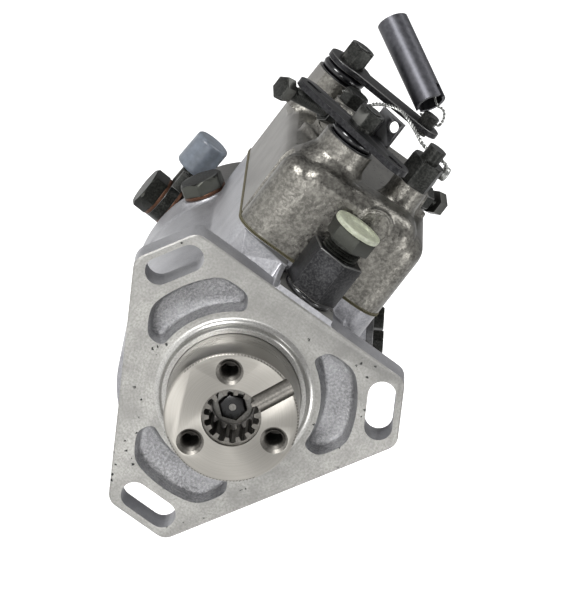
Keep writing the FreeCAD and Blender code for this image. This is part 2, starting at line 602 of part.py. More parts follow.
# Mounting flange, barrel and deck of the housing
def pump_housing():
    # Two triangular bars across each other leave a triangle with its corners cut off
    front = ("0", "0", "0")
    edges = hexagon("Flange_edges", "2 * flange_edge", "flange_thick", front, along_y(30), sides=3)
    corners = hexagon("Flange_corners", "2 * flange_corner", "flange_thick", front, along_y(90), sides=3)
    flange = common("Flange_plate", edges, corners)
    spigot = rod("Pilot", "pilot_radius", "pilot_proud", ("0", "-pilot_proud", "0"), AXIAL)
    barrel = rod("Barrel", "barrel_radius", "barrel_end - flange_thick", ("0", "flange_thick", "0"), AXIAL)
    deck = rounded_block("Deck", DECK_WIDTH, DECK_LENGTH, "deck_top - skirt_bottom", "deck_round", None,
                         (*DECK_MIDDLE, "skirt_bottom"))
    boss = block("Adapter_boss", "2 * adapter_boss", "deck_front + deck_round", "adapter_seat",
                 ("0", "(deck_front + deck_round) / 2", "0"))
    neck = block("Deck_neck", f"{DECK_WIDTH} - 2 * deck_round", "deck_front + deck_round - flange_thick / 2",
                 "deck_top - recess_depth - skirt_bottom",
                 (SPACE_X, "(deck_front + deck_round + flange_thick / 2) / 2", "skirt_bottom"))
    pads = [
        rod(f"Lock_boss_{i}", "lock_boss", "barrel_radius + 1", polar("0", angle, "lock_y"), outward(value(angle)))
        for i, angle in enumerate(LOCK_ANGLES)
    ]
    turn = outward(value("window_angle"))
    window = block("Window_seat", "window_width", "window_length", "window_face", polar("0", "window_angle", "window_y"), turn)
    body = fuse("Housing_solid", flange, spigot, barrel, deck, boss, neck, window, *pads)

    recesses = []
    for i, angle in enumerate(FLANGE_ANGLES):
        start = along_y(angle + value("recess_span") / 2)
        sector = rod(f"Recess_{i}", "recess_outer", "recess_depth", front, start, sweep="recess_span")
        core = rod(f"Recess_core_{i}", "recess_inner", "recess_depth", front, AXIAL)
        recesses.append(cut(f"Recess_arc_{i}", sector, core))
        recesses.append(slot(f"Slot_{i}", angle))
    bores = [
        rod("Hub_recess", "hub_radius + hub_gap", "pilot_proud + hub_back + seat_gap", ("0", "-pilot_proud", "0"), AXIAL),
        rod("Seal_bore", "seal_radius", "seal_front + seal_length", front, AXIAL),
        rod("Bush_bore", "journal_radius + run_gap + bush_wall", "front_wall", front, AXIAL),
        rod("Chamber", "chamber_radius", "head_front - front_wall", ("0", "front_wall", "0"), AXIAL),
        rod("Head_bore", "chamber_radius + head_gap", "barrel_end - head_front", ("0", "head_front", "0"), AXIAL),
        rounded_block("Deck_window", f"{DECK_WIDTH} - 2 * deck_land", f"{WINDOW_REAR} - ({WINDOW_FRONT})",
                      "deck_top", "deck_round / 2", None,
                      (SPACE_X, f"({WINDOW_REAR} + ({WINDOW_FRONT})) / 2", "deck_land")),
        rod("Adapter_hole", "adapter_thread", "adapter_depth",
            ("0", "adapter_y", "adapter_seat - adapter_depth"), UP),
        rod("Adapter_face", "adapter_flats * 0.56 + seat_gap", "adapter_height", ("0", "adapter_y", "adapter_seat"), UP),
        rod("Window_hole", "window_hole", "window_face", polar("0", "window_angle", "window_y"), turn),
        rod("Cam_screw_hole", "cam_screw_shank", "barrel_radius",
            ("0", "cam_front + cam_length / 2", "0"), DOWN),
    ]
    for i, side in enumerate((-1, 1)):
        bores.append(rod(f"Window_screw_hole_{i}", "window_screw", "8",
                         polar("window_face - 7", "window_angle", f"window_y + {side} * window_screw_pitch"), turn))
    for i, angle in enumerate(LOCK_ANGLES):
        turn = outward(value(angle))
        bores.append(rod(f"Lock_hole_{i}", "lock_shank", "2 * barrel_radius", polar("0", angle, "lock_y"), turn))
        bores.append(rod(f"Lock_face_{i}", "lock_boss", "barrel_radius", polar("barrel_radius + 1", angle, "lock_y"), turn))
    return cut("Housing", body, *recesses, *bores)


def slot(name, angle):
    # A round-ended slot through the flange, across its radius
    start = polar("slot_pitch", angle, "-1")
    straight = "slot_length - slot_width"
    turn = along_y(angle)
    depth = "flange_thick + 2"
    middle = block(f"{name}_middle", "slot_width", straight, depth, start, turn)
    ends = []
    for i, side in enumerate((-1, 1)):
        across = (f"{side} * ({straight}) / 2 * sin({angle})", "0", f"-1 * {side} * ({straight}) / 2 * cos({angle})")
        at = tuple(f"({one}) + ({two})" for one, two in zip(start, across))
        ends.append(rod(f"{name}_end_{i}", "slot_width / 2", depth, at, turn))
    return fuse(name, middle, *ends)


WINDOW_FRONT = "deck_front + deck_land + 2"
WINDOW_REAR = "lock_y - lock_shank - 1"
LOCK_ANGLES = ("lock_angle", "180 - lock_angle")
COVER_NUTS = (("cap_nut_x", "cap_nut_y"), ("rear_nut_x", "rear_nut_y"))


# Cast governor cover, its gasket and what holds it down
def governor_cover():
    base = "deck_top + gasket_thick"
    walls = rounded_block("Cover_walls", DECK_WIDTH, DECK_LENGTH, f"cover_top - ({base})", "deck_round", "cover_edge",
                          (*DECK_MIDDLE, base))
    bulge = rounded_block("Cover_bulge", "bulge_left + bulge_right", "bulge_depth", f"bulge_top - ({base})",
                          "cover_edge", "cover_edge - 1",
                          ("(bulge_right - bulge_left) / 2", "deck_front + bulge_depth / 2", base))
    pad = rod("Cover_pad", "pad_radius", "cover_wall", ("pad_x", "deck_front - 0.6", "pad_z"), AXIAL)
    bosses = [
        rod("Throttle_boss", "throttle_boss", "throttle_boss_top - cover_top + cover_wall",
            ("throttle_x", "throttle_y", "cover_top - cover_wall")),
        rod("Stop_boss", "stop_boss", "stop_boss_top - cover_top + cover_wall",
            ("stop_x", "stop_y", "cover_top - cover_wall")),
    ]
    bosses.append(rod("Vent_boss", "vent_boss", "vent_seat - cover_top + cover_wall", ("vent_x", "vent_y", "cover_top - cover_wall")))
    for i, ((x, y), seat) in enumerate(zip(COVER_NUTS, NUT_SEATS)):
        bosses.append(rod(f"Nut_boss_{i}", "cap_nut_boss", f"{seat} - cover_top + cover_wall",
                          (x, y, "cover_top - cover_wall")))
    for name, x, y, angle, screw in (
            ("Long_lug", "speed_lug_x", "speed_lug_y", "speed_angle", "speed_z"),
            ("Short_lug", "idle_lug_x", "idle_lug_y", "idle_angle", "idle_z")):
        turn = Rotation(Vector(0, 0, 1), value(angle))
        bosses.append(block(name, "lug_long", "2 * lug_half", f"{screw} + lug_half - cover_top + cover_wall",
                            (x, y, "cover_top - cover_wall"), turn))
    solid = fuse("Cover_solid", walls, bulge, pad, *bosses)
    hollow = rounded_block(
        "Cover_hollow", f"{DECK_WIDTH} - 2 * cover_wall", f"{DECK_LENGTH} - 2 * cover_wall",
        f"cover_top - cover_wall - ({base}) + 1", "deck_round - cover_wall", "cover_edge - cover_wall",
        (*DECK_MIDDLE, f"{base} - 1"))
    bores = [
        rod("Throttle_bore", "spindle_radius + run_gap", "throttle_boss_top", ("throttle_x", "throttle_y", "deck_top")),
        rod("Stop_bore", "spindle_radius + run_gap", "stop_boss_top", ("stop_x", "stop_y", "deck_top")),
        rod("Long_screw_bore", "speed_radius", "2 * lug_long",
            reach("speed_lug_x", "speed_lug_y", "speed_z", "speed_angle", "-lug_long"), level(value("speed_angle"))),
        rod("Short_screw_bore", "speed_radius", "2 * lug_long",
            reach("idle_lug_x", "idle_lug_y", "idle_z", "idle_angle", "-lug_long"), level(value("idle_angle"))),
    ]
    bores.append(rod("Vent_bore", "vent_radius", "2 * vent_depth", ("vent_x", "vent_y", "vent_seat - vent_depth")))
    for i, ((x, y), seat) in enumerate(zip(COVER_NUTS, NUT_SEATS)):
        bores.append(rod(f"Stud_bore_{i}", "cap_nut_stud", seat, (x, y, "deck_top")))
    return cut("Cover", solid, hollow, *bores)


def reach(x, y, z, angle, distance):
    # A point this far from another, level, at this angle from +X towards +Y
    return (f"{x} + ({distance}) * cos({angle})", f"{y} + ({distance}) * sin({angle})", z)


NUT_SEATS = ("cap_nut_seat", "rear_nut_seat")
NUT_KINDS = ("cap_nut", "rear_nut")


def cover_gasket():
    sheet_piece = rounded_block("Gasket_sheet", DECK_WIDTH, DECK_LENGTH, "gasket_thick", "deck_round", None,
                                (*DECK_MIDDLE, "deck_top"))
    window = rounded_block("Gasket_window", f"{DECK_WIDTH} - 2 * deck_land", f"{DECK_LENGTH} - 2 * deck_land",
                           "3 * gasket_thick", "deck_round / 2", None, (*DECK_MIDDLE, "deck_top - gasket_thick"))
    return cut("Gasket", sheet_piece, window)


def cover_cap_nuts():
    nuts = []
    for kind, (x, y), seat in zip(NUT_KINDS, COVER_NUTS, NUT_SEATS):
        name = kind.capitalize()
        top = f"{seat} + {kind}_hex"
        head = screw_head(name, f"{kind}_flats", f"{kind}_hex", f"{kind}_flats * 0.56", (x, y, seat), UP, 13)
        crown = rod(f"{name}_crown", f"{kind}_crown", f"{kind}_top", (x, y, top))
        stud = rod(f"{name}_stud", "cap_nut_stud", f"{seat} + 1 - stud_foot", (x, y, "stud_foot"))
        hole = rod(f"{name}_wire_hole", "wire_radius * 1.3", f"3 * {kind}_crown",
                   (f"{x} - 1.5 * {kind}_crown", y, f"{top} + {kind}_top / 2"), level(0))
        nuts.append(cut(f"{name}_drilled", fuse(f"{name}_whole", head, crown, stud), hole))
    return group("Cap_nuts", *nuts)


# Inspection cover on the barrel's right side
def inspection_cover():
    turn = outward(value("window_angle"))
    lid = rounded_block("Window_lid", "window_width", "window_length", "window_plate", "window_width / 3", None, ORIGIN)
    place(lid, polar("window_face", "window_angle", "window_y"), turn)
    holes = [
        rod(f"Lid_hole_{i}", "window_screw + seat_gap", "2 * window_plate",
            polar("window_face - window_plate / 2", "window_angle", f"window_y + {side} * window_screw_pitch"), turn)
        for i, side in enumerate((-1, 1))
    ]
    return cut("Inspection_lid", lid, *holes)


def inspection_screws():
    turn = outward(value("window_angle"))
    screws = []
    for i, side in enumerate((-1, 1)):
        along = f"window_y + {side} * window_screw_pitch"
        head = screw_head(f"Lid_screw_head_{i}", "speed_flats", "lock_nut", "speed_flats * 0.56",
                          polar("window_face + window_plate", "window_angle", along), turn)
        shank = rod(f"Lid_screw_shank_{i}", "window_screw", "window_plate + 6",
                    polar("window_face - 6", "window_angle", along), turn)
        screws.append(fuse(f"Lid_screw_{i}", head, shank))
    return group("Lid_screws", *screws)


# Fuel return adapter in front of the cover, with its transit plug
def fuel_adapter():
    seat = "adapter_seat + copper_thick"
    at = ("0", "adapter_y", seat)
    body = screw_head("Adapter_hex", "adapter_flats", f"adapter_hex_top - ({seat})", "adapter_flats * 0.56", at, UP, 13)
    thread = rod("Adapter_thread", "adapter_thread", f"adapter_depth + copper_thick",
                 ("0", "adapter_y", "adapter_seat - adapter_depth"))
    bore = rod("Adapter_bore", "adapter_fuel", "adapter_hex_top", ("0", "adapter_y", "0"))
    socket = rod("Adapter_socket", "adapter_thread", "2 * plug_depth", ("0", "adapter_y", "adapter_hex_top - plug_depth"))
    return cut("Adapter", fuse("Adapter_solid", body, thread), bore, socket)


def adapter_washer():
    disc = rod("Washer_disc", "adapter_washer_radius", "copper_thick", ("0", "adapter_y", "adapter_seat"))
    hole = rod("Washer_hole", "adapter_thread", "3 * copper_thick", ("0", "adapter_y", "adapter_seat - copper_thick"))
    return cut("Washer", disc, hole)


def adapter_plug():
    thread = rod("Plug_thread", "adapter_thread", "plug_depth + plug_hex_bottom - adapter_hex_top",
                 ("0", "adapter_y", "adapter_hex_top - plug_depth"))
    head = screw_head("Plug_hex", "plug_flats", "plug_hex_top - plug_hex_bottom", "plug_flats * 0.56",
                      ("0", "adapter_y", "plug_hex_bottom"), UP, 13)
    bore = rod("Plug_bore", "adapter_fuel", "plug_hex_top", ("0", "adapter_y", "0"))
    return cut("Plug", fuse("Plug_solid", thread, head), bore)


def transit_disc():
    at = ("0", "adapter_y", "plug_hex_top")
    disc = rod("Disc_rim", "disc_radius", "disc_thick", at)
    stem = rod("Disc_stem", "adapter_fuel - seat_gap", "5", ("0", "adapter_y", "plug_hex_top - 4"))
    dimple = cone("Disc_dimple", "adapter_fuel * 0.6", "adapter_fuel", "disc_thick",
                  ("0", "adapter_y", "plug_hex_top + disc_thick / 2"))
    return cut("Disc", fuse("Disc_solid", disc, stem), dimple)


# Drive hub, its screw and the splined shaft
def spline_bar(name, radius, tooth_top, tooth_half, length, at):
    # A round bar with trapezium teeth standing out of it
    bar = rod(name + "_core", radius, length, at, AXIAL)
    teeth = int(value("spline_teeth"))
    root = "spline_minor * 0.8"
    points = [(root, f"-1.5 * ({tooth_half})"), (tooth_top, f"-({tooth_half}) * 0.6"),
              (tooth_top, f"({tooth_half}) * 0.6"), (root, f"1.5 * ({tooth_half})")]
    return fuse(name, bar, *[
        plate(f"{name}_tooth_{i}", points, length, at, along_y(360.0 * i / teeth)) for i in range(teeth)
    ])


def drive_hub():
    profile = [
        ("0", "0"), ("hub_radius - 0.6", "0"), ("hub_radius", "0.6"), ("hub_radius", "hub_front + hub_back"),
        ("hub_shank", "hub_front + hub_back"), ("hub_shank", "hub_front + hub_end"), ("0", "hub_front + hub_end"),
    ]
    face = ("0", "-hub_front", "0")
    solid = revolved("Hub_turned", profile, face, AXIAL)
    spline = spline_bar("Hub_spline", "spline_minor", "spline_major", "0.8", "2 * hub_front",
                        ("0", "-hub_front - 1", "0"))
    tools = [spline, rod("Hub_counterbore", "hub_bore", "hub_bore_depth", face, AXIAL)]
    for i in range(3):
        angle = str(8 + 120 * i)
        tools.append(rod(f"Hub_hole_{i}", "hub_hole", "hub_hole_depth", polar("hub_pitch", angle, "-hub_front"), AXIAL))
    tools.append(rod("Hub_groove", "hub_groove", "hub_radius", ("0", "-hub_front - 0.3", "0"), outward(66)))
    return cut("Hub", solid, *tools)


def hub_screw():
    # A hexagon on a round flange
    front = "-screw_head_front"
    seat = f"{front} + screw_head_length"
    head = screw_head("Screw_head", "screw_flats", "screw_head_length", "screw_flats * 0.56", ("0", seat, "0"), FORWARD, 10)
    flange = rod("Screw_flange", "screw_head", "screw_flange", ("0", seat, "0"), FORWARD)
    shank = rod("Screw_shank", "screw_shank", "screw_depth + 1", ("0", "-shaft_front - 1", "0"), AXIAL)
    return fuse("Screw", head, flange, shank)


def drive_shaft():
    spline = spline_bar("Shaft_spline", "spline_minor - spline_gap", "spline_major - spline_gap", "0.8 - spline_gap",
                        "shaft_front + hub_end", ("0", "-shaft_front", "0"))
    turned = revolved("Shaft_turned", [
        ("0", "hub_end"), ("journal_radius", "hub_end"), ("journal_radius", "journal_end"),
        ("shaft_radius", "journal_end"), ("shaft_radius", "shaft_end"), ("drive_disc", "shaft_end"),
        ("drive_disc", "cam_front - tongue_length - seat_gap"), ("0", "cam_front - tongue_length - seat_gap"),
    ], ORIGIN, AXIAL)
    tongue = block("Shaft_tongue", "1.8 * drive_disc", "tongue_width", "tongue_length",
                   ("0", "cam_front - tongue_length - seat_gap", "0"), AXIAL)
    hole = rod("Shaft_screw_hole", "screw_shank", "screw_depth", ("0", "-shaft_front", "0"), AXIAL)
    return cut("Shaft", fuse("Shaft_solid", spline, turned, tongue), hole)


def tube(name, inner, outer, front, length):
    # A plain ring on the drive axis
    wall = rod(name + "_wall", outer, length, ("0", front, "0"), AXIAL)
    bore = rod(name + "_bore", inner, f"({length}) + 2", ("0", f"({front}) - 1", "0"), AXIAL)
    return cut(name, wall, bore)


def hub_oil_seal():
    return tube("Oil_seal", "hub_shank + run_gap", "seal_radius", "seal_front", "seal_length")


def shaft_bush():
    return tube("Bush", "journal_radius + run_gap", "journal_radius + run_gap + bush_wall",
                "hub_end", "front_wall - hub_end")


# Governor weights in their cage, and the thrust sleeve that they push
def weight_cage():
    disc = tube("Cage_plate", "shaft_radius", "cage_radius", "cage_front", "cage_plate")
    posts = []
    for i in range(4):
        angle = str(45 + 90 * i)
        posts.append(block(f"Cage_post_{i}", "cage_radius - weight_inner - 8", "cage_post", "cage_length",
                           polar("(cage_radius + weight_inner + 8) / 2 - 0.3", angle, "cage_front"), along_y(float(angle))))
    return fuse("Cage", disc, *posts)


def governor_weight(i):
    # The section in radius and length: a block with a toe, turning on the front outer edge
    front = WEIGHT_FRONT
    rear = f"{front} + weight_length"
    toe_end = TOE_END
    section = [
        ("weight_inner", front), ("weight_pivot_r", front), ("weight_outer", f"{front} + 2"), ("weight_outer", rear),
        ("toe_inner + toe_thick + 2", toe_end), ("toe_inner", toe_end), ("toe_inner", f"{toe_end} - toe_thick"),
        ("weight_inner", f"{toe_end} - toe_thick - 2"),
    ]
    turn = Rotation(Vector(0, 1, 0), -90.0 * i)
    return plate(f"Weight_{i}", section, "weight_width", ORIGIN, turn, midplane=True)


def thrust_sleeve():
    front = SLEEVE_FRONT
    flange = rod("Sleeve_flange", "sleeve_flange", "sleeve_plate", ("0", front, "0"), AXIAL)
    tail = rod("Sleeve_tail", "sleeve_radius", "sleeve_length", ("0", front, "0"), AXIAL)
    bore = rod("Sleeve_bore", "shaft_radius + run_gap", "3 * sleeve_length", ("0", f"{front} - sleeve_length", "0"), AXIAL)
    return cut("Sleeve", fuse("Sleeve_solid", flange, tail), bore)


# Cam ring, rotor and pumping elements
def cam_ring():
    outer = "chamber_radius - cam_gap"
    blank = tube("Cam_blank", "cam_base", outer, "cam_front", "cam_length")
    lobes = [
        rod(f"Cam_lobe_{i}", "lobe_radius", "cam_length",
            polar("cam_base - cam_lift + lobe_radius", str(45 + 90 * i), "cam_front"), AXIAL)
        for i in range(4)
    ]
    hole = rod("Cam_screw_seat", "cam_screw_shank - 1", "barrel_radius",
               ("0", "cam_front + cam_length / 2", "-(cam_base + 2)"), DOWN)
    return cut("Cam", fuse("Cam_solid", blank, *lobes), hole)


def cam_locking_screw():
    middle = "cam_front + cam_length / 2"
    tip = rod("Cam_screw_tip", "cam_screw_shank - 1 - seat_gap", "barrel_radius - cam_base - 3",
              ("0", middle, "-(cam_base + 3)"), DOWN)
    shank = rod("Cam_screw_shank", "cam_screw_shank", "barrel_radius - chamber_radius",
                ("0", middle, "-chamber_radius"), DOWN)
    head = screw_head("Cam_screw_head", "cam_screw_flats", "lock_head", "cam_screw_flats * 0.56",
                      ("0", middle, "-barrel_radius"), DOWN)
    return fuse("Cam_screw", tip, shank, head)


def pump_rotor():
    body = revolved("Rotor_turned", [
        ("0", "cam_front"), ("rotor_head", "cam_front"), ("rotor_head", "cam_front + cam_length"),
        ("rotor_radius", "cam_front + cam_length"), ("rotor_radius", "head_end - liner_length"),
        ("vane_rotor", "head_end - liner_length + seat_gap"), ("vane_rotor", "head_end - seat_gap"),
        ("0", "head_end - seat_gap"),
    ], ORIGIN, AXIAL)
    drive = rod("Rotor_drive", "drive_disc", "tongue_length", ("0", "cam_front - tongue_length", "0"), AXIAL)
    groove = block("Rotor_groove", "3 * drive_disc", "tongue_width + 2 * seat_gap", "tongue_length",
                   ("0", "cam_front - tongue_length", "0"), AXIAL)
    middle = "cam_front + cam_length / 2"
    bore = rod("Rotor_plunger_bore", "plunger_radius + run_gap / 2", "2 * rotor_head", ("-rotor_head", middle, "0"), level(0))
    tools = [groove, bore]
    for i, side in enumerate((-1, 1)):
        tools.append(block(f"Rotor_shoe_slot_{i}", "rotor_head", "shoe_width + 2 * seat_gap", "shoe_length + 2 * seat_gap",
                           (f"{side} * (plunger_outer - seat_gap + rotor_head / 2)",
                            f"{middle} - shoe_length / 2 - seat_gap", "0"), AXIAL))
    for i, angle in enumerate((0, 90)):
        tools.append(block(f"Rotor_vane_slot_{i}", "3 * vane_rotor", "vane_thick + seat_gap", "liner_length + 1",
                           ("0", "head_end - liner_length", "0"), along_y(angle)))
    return cut("Rotor", fuse("Rotor_solid", body, drive), *tools)


def plungers():
    middle = "cam_front + cam_length / 2"
    return group("Plunger_pair", *[
        rod(f"Plunger_{i}", "plunger_radius", "plunger_outer - plunger_inner",
            (f"{side} * plunger_inner", middle, "0"), level(90 - 90 * side))
        for i, side in enumerate((-1, 1))
    ])


def roller_shoes():
    front = "cam_front + (cam_length - shoe_length) / 2"
    shoes = []
    for i, side in enumerate((-1, 1)):
        shoe = block(f"Shoe_block_{i}", "shoe_outer - plunger_outer", "shoe_width", "shoe_length",
                     (f"{side} * (shoe_outer + plunger_outer) / 2", front, "0"), AXIAL)
        seat = rod(f"Shoe_seat_{i}", "roller_radius + run_gap", "2 * shoe_length",
                   (f"{side} * roller_pitch", f"{front} - shoe_length / 2", "0"), AXIAL)
        shoes.append(cut(f"Shoe_{i}", shoe, seat))
    return group("Shoe_pair", *shoes)


def rollers():
    front = "cam_front + (cam_length - roller_length) / 2"
    return group("Roller_pair", *[
        rod(f"Roller_{i}", "roller_radius", "roller_length", (f"{side} * roller_pitch", front, "0"), AXIAL)
        for i, side in enumerate((-1, 1))
    ])


# Hydraulic head with its transfer pump
STUB_SIDES = (1, -1, 1, 1)
OUTLETS = [f"(outlet_angle + {i} * 360 / outlet_count)" for i in range(int(value("outlet_count")))]
VANE_MIDDLE = "head_end - liner_length / 2"


def hydraulic_head():
    body = revolved("Head_turned", [
        ("0", "head_front"), ("chamber_radius", "head_front"), ("chamber_radius", "barrel_end"),
        ("collar_radius", "barrel_end"), ("collar_radius", "head_end"), ("0", "head_end"),
    ], ORIGIN, AXIAL)
    tools = [
        rod("Head_bore", "rotor_radius + run_gap / 2", "head_end", ORIGIN, AXIAL),
        rod("Head_liner_seat", "liner_radius", "liner_length", ("0", "head_end - liner_length", "0"), AXIAL),
        rod("Head_metering_bore", "metering_radius + run_gap", "chamber_radius",
            ("metering_x", "metering_y", "metering_bottom - seat_gap")),
    ]
    for i, angle in enumerate(OUTLETS):
        turn = outward(value(angle))
        tools.append(rod(f"Head_outlet_{i}", "outlet_bore", "collar_radius", polar("rotor_radius - 1", angle, "outlet_y"), turn))
        tools.append(rod(f"Head_bolt_hole_{i}", "bolt_shank", "collar_radius",
                         polar("collar_radius - bolt_depth", angle, "outlet_y"), turn))
    for i, angle in enumerate(LOCK_ANGLES):
        tools.append(rod(f"Head_lock_hole_{i}", "lock_shank - 1", "chamber_radius",
                         polar("chamber_radius - 4", angle, "lock_y"), outward(value(angle))))
    for i in range(4):
        tools.append(rod(f"Head_plate_hole_{i}", "clamp_radius", "12", polar("plate_bolt_pitch", str(45 + 90 * i), "head_end - 12"), AXIAL))
    return cut("Head", body, *tools)


def head_locking_screws():
    screws = []
    for i, angle in enumerate(LOCK_ANGLES):
        turn = outward(value(angle))
        seat = "barrel_radius + 1"
        head = screw_head(f"Lock_head_{i}", "lock_flats", "lock_head", "lock_flats * 0.56",
                          polar(f"{seat} + copper_thick", angle, "lock_y"), turn, 25)
        shank = rod(f"Lock_shank_{i}", "lock_shank", f"{seat} + copper_thick - chamber_radius - head_gap",
                    polar("chamber_radius + head_gap", angle, "lock_y"), turn)
        tip = rod(f"Lock_tip_{i}", "lock_shank - 1 - seat_gap", "4.5", polar("chamber_radius - 3.5", angle, "lock_y"), turn)
        screws.append(fuse(f"Lock_screw_{i}", head, shank, tip))
    return group("Lock_screws", *screws)


def locking_washers():
    washers = []
    for i, angle in enumerate(LOCK_ANGLES):
        turn = outward(value(angle))
        disc = rod(f"Lock_washer_disc_{i}", "lock_washer", "copper_thick", polar("barrel_radius + 1", angle, "lock_y"), turn)
        hole = rod(f"Lock_washer_hole_{i}", "lock_shank", "3 * copper_thick", polar("barrel_radius", angle, "lock_y"), turn)
        washers.append(cut(f"Lock_washer_{i}", disc, hole))
    return group("Lock_washers", *washers)


def transfer_liner():
    front = "head_end - liner_length"
    wall = rod("Liner_wall", "liner_radius", "liner_length", ("0", front, "0"), AXIAL)
    bore = rod("Liner_bore", "liner_bore", "2 * liner_length", ("0", f"{front} - 1", "liner_shift"), AXIAL)
    return cut("Liner", wall, bore)


def transfer_vanes():
    # Two full-width vanes at right angles, each notched where the other passes
    front = "head_end - liner_length + seat_gap"
    width = "liner_length - 2 * seat_gap"
    vanes = []
    for i, (angle, notch) in enumerate(((0, front), (90, VANE_MIDDLE))):
        vane = block(f"Vane_blade_{i}", "2 * vane_tip", "vane_thick", width, ("0", front, "0"), along_y(angle))
        gap = block(f"Vane_notch_{i}", "vane_thick + 2 * seat_gap", "3 * vane_thick", f"liner_length / 2 + seat_gap",
                    ("0", f"{notch} - seat_gap", "0"), along_y(angle))
        vanes.append(cut(f"Vane_{i}", vane, gap))
    return group("Vanes", *vanes)


# End plate with the fuel inlet and the regulating valve
def end_plate():
    disc = rod("Plate_disc", "plate_radius", "plate_thick", ("0", "head_end", "0"), AXIAL)
    boss = rod("Plate_boss", "valve_boss", "valve_boss_top", ("0", "head_end + valve_y", "0"))
    foot = rod("Plate_foot", "valve_boss + 3", "valve_y + 4", ("0", "head_end", "0"), AXIAL)
    bore = rod("Plate_bore", "valve_bore", "valve_boss_top", ("0", "head_end + valve_y", "valve_bore_bottom"))
    holes = [
        rod(f"Plate_hole_{i}", "clamp_radius", "3 * plate_thick",
            polar("plate_bolt_pitch", str(45 + 90 * i), "head_end - plate_thick"), AXIAL)
        for i in range(4)
    ]
    return cut("Plate", fuse("Plate_solid", disc, boss, foot), bore, *holes)


def end_plate_screws():
    screws = []
    for i in range(4):
        angle = str(45 + 90 * i)
        head = screw_head(f"Plate_screw_head_{i}", "speed_flats", "speed_head", "speed_flats * 0.56",
                          polar("plate_bolt_pitch", angle, "head_end + plate_thick"), AXIAL)
        shank = rod(f"Plate_screw_shank_{i}", "clamp_radius", "plate_thick + 10",
                    polar("plate_bolt_pitch", angle, "head_end - 10"), AXIAL)
        screws.append(fuse(f"Plate_screw_{i}", head, shank))
    return group("Plate_screws", *screws)


def inlet_union():
    y = "head_end + valve_y"
    spigot = rod("Union_spigot", "valve_bore", "union_spigot", ("0", y, "valve_boss_top - union_spigot"))
    body = screw_head("Union_hex", "union_flats", "union_hex", "union_flats * 0.56", ("0", y, "valve_boss_top"), UP)
    neck = rod("Union_neck", "union_neck", "union_length", ("0", y, "valve_boss_top + union_hex"))
    bore = rod("Union_bore", "union_bore", "2 * valve_boss_top", ("0", y, "valve_bore_bottom"))
    return cut("Union", fuse("Union_solid", spigot, body, neck), bore)


def regulating_piston():
    y = "head_end + valve_y"
    body = rod("Piston_body", "valve_bore - run_gap", "piston_length", ("0", y, "piston_rest"))
    hollow = rod("Piston_hollow", "valve_bore / 2", "piston_length", ("0", y, "piston_rest + piston_length / 2"))
    return cut("Piston", body, hollow)


def coil(name, radius, wire, length, turns, at, turn):
    # A helical spring of round wire
    line = doc.addObject("Part::Helix", name + "_line")
    bind(line, Radius=radius, Height=length, Pitch=f"({length}) / {turns}")
    section = doc.addObject("Part::Circle", name + "_section")
    bind(section, Radius=wire)
    place(section, (radius, "0", "0"), Rotation(Vector(1, 0, 0), 90))
    wound = doc.addObject("Part::Sweep", name)
    wound.Sections = [section]
    wound.Spine = (line, [])
    wound.Solid = True
    wound.Frenet = True
    return place(wound, at, turn)


def regulating_spring():
    base = "piston_rest + piston_length + spring_wire + seat_gap"
    return coil("Regulating_coil", "valve_bore - 3 * spring_wire", "spring_wire",
                f"valve_boss_top - union_spigot - spring_wire - seat_gap - ({base})", 6,
                ("0", "head_end + valve_y", base), UP)


# High pressure outlets round the head
def outlet_stack(i):
    # Seats of the outlet parts, going out from the head: inner washer, banjo, outer washer, bolt head
    inner = "collar_radius"
    eye = f"{inner} + copper_thick"
    outer = f"{eye} + banjo_thick"
    head = f"{outer} + copper_thick"
    return inner, eye, outer, head, OUTLETS[i], outward(value(OUTLETS[i]))


def outlet_washers():
    washers = []
    for i in range(len(OUTLETS)):
        inner, eye, outer, head, angle, turn = outlet_stack(i)
        for side, seat in enumerate((inner, outer)):
            disc = rod(f"Outlet_washer_disc_{i}_{side}", "banjo_eye", "copper_thick", polar(seat, angle, "outlet_y"), turn)
            hole = rod(f"Outlet_washer_hole_{i}_{side}", "banjo_bore", "3 * copper_thick",
                       polar(f"{seat} - copper_thick", angle, "outlet_y"), turn)
            washers.append(cut(f"Outlet_washer_{i}_{side}", disc, hole))
    return group("Outlet_washer_set", *washers)


def across_outlet(angle, radius, distance):
    # A point beside an outlet's axis, clockwise seen from the rear of the first one upwards
    return (f"({radius}) * cos({angle}) + ({distance}) * sin({angle})", "outlet_y",
            f"({radius}) * sin({angle}) - ({distance}) * cos({angle})")


def outlet_banjos():
    banjos = []
    for i in range(len(OUTLETS)):
        inner, eye, outer, head, angle, turn = outlet_stack(i)
        disc = rod(f"Banjo_eye_{i}", "banjo_eye", "banjo_thick", polar(eye, angle, "outlet_y"), turn)
        web = block(f"Banjo_web_{i}", "stub_length - cap_length", "2 * stub_radius", "banjo_thick",
                    across_outlet(angle, eye, f"{STUB_SIDES[i]} * (stub_length - cap_length) / 2"), turn)
        middle = f"{eye} + banjo_thick / 2"
        stub = rod(f"Banjo_stub_{i}", "stub_radius - 0.6", "stub_length - 8", across_outlet(angle, middle, f"{STUB_SIDES[i]} * 8"),
                   outward(value(angle) - STUB_SIDES[i] * 90))
        hole = rod(f"Banjo_hole_{i}", "banjo_bore", "3 * banjo_thick", polar(f"{eye} - banjo_thick", angle, "outlet_y"), turn)
        banjos.append(cut(f"Banjo_{i}", fuse(f"Banjo_solid_{i}", disc, web, stub), hole))
    return group("Banjos", *banjos)


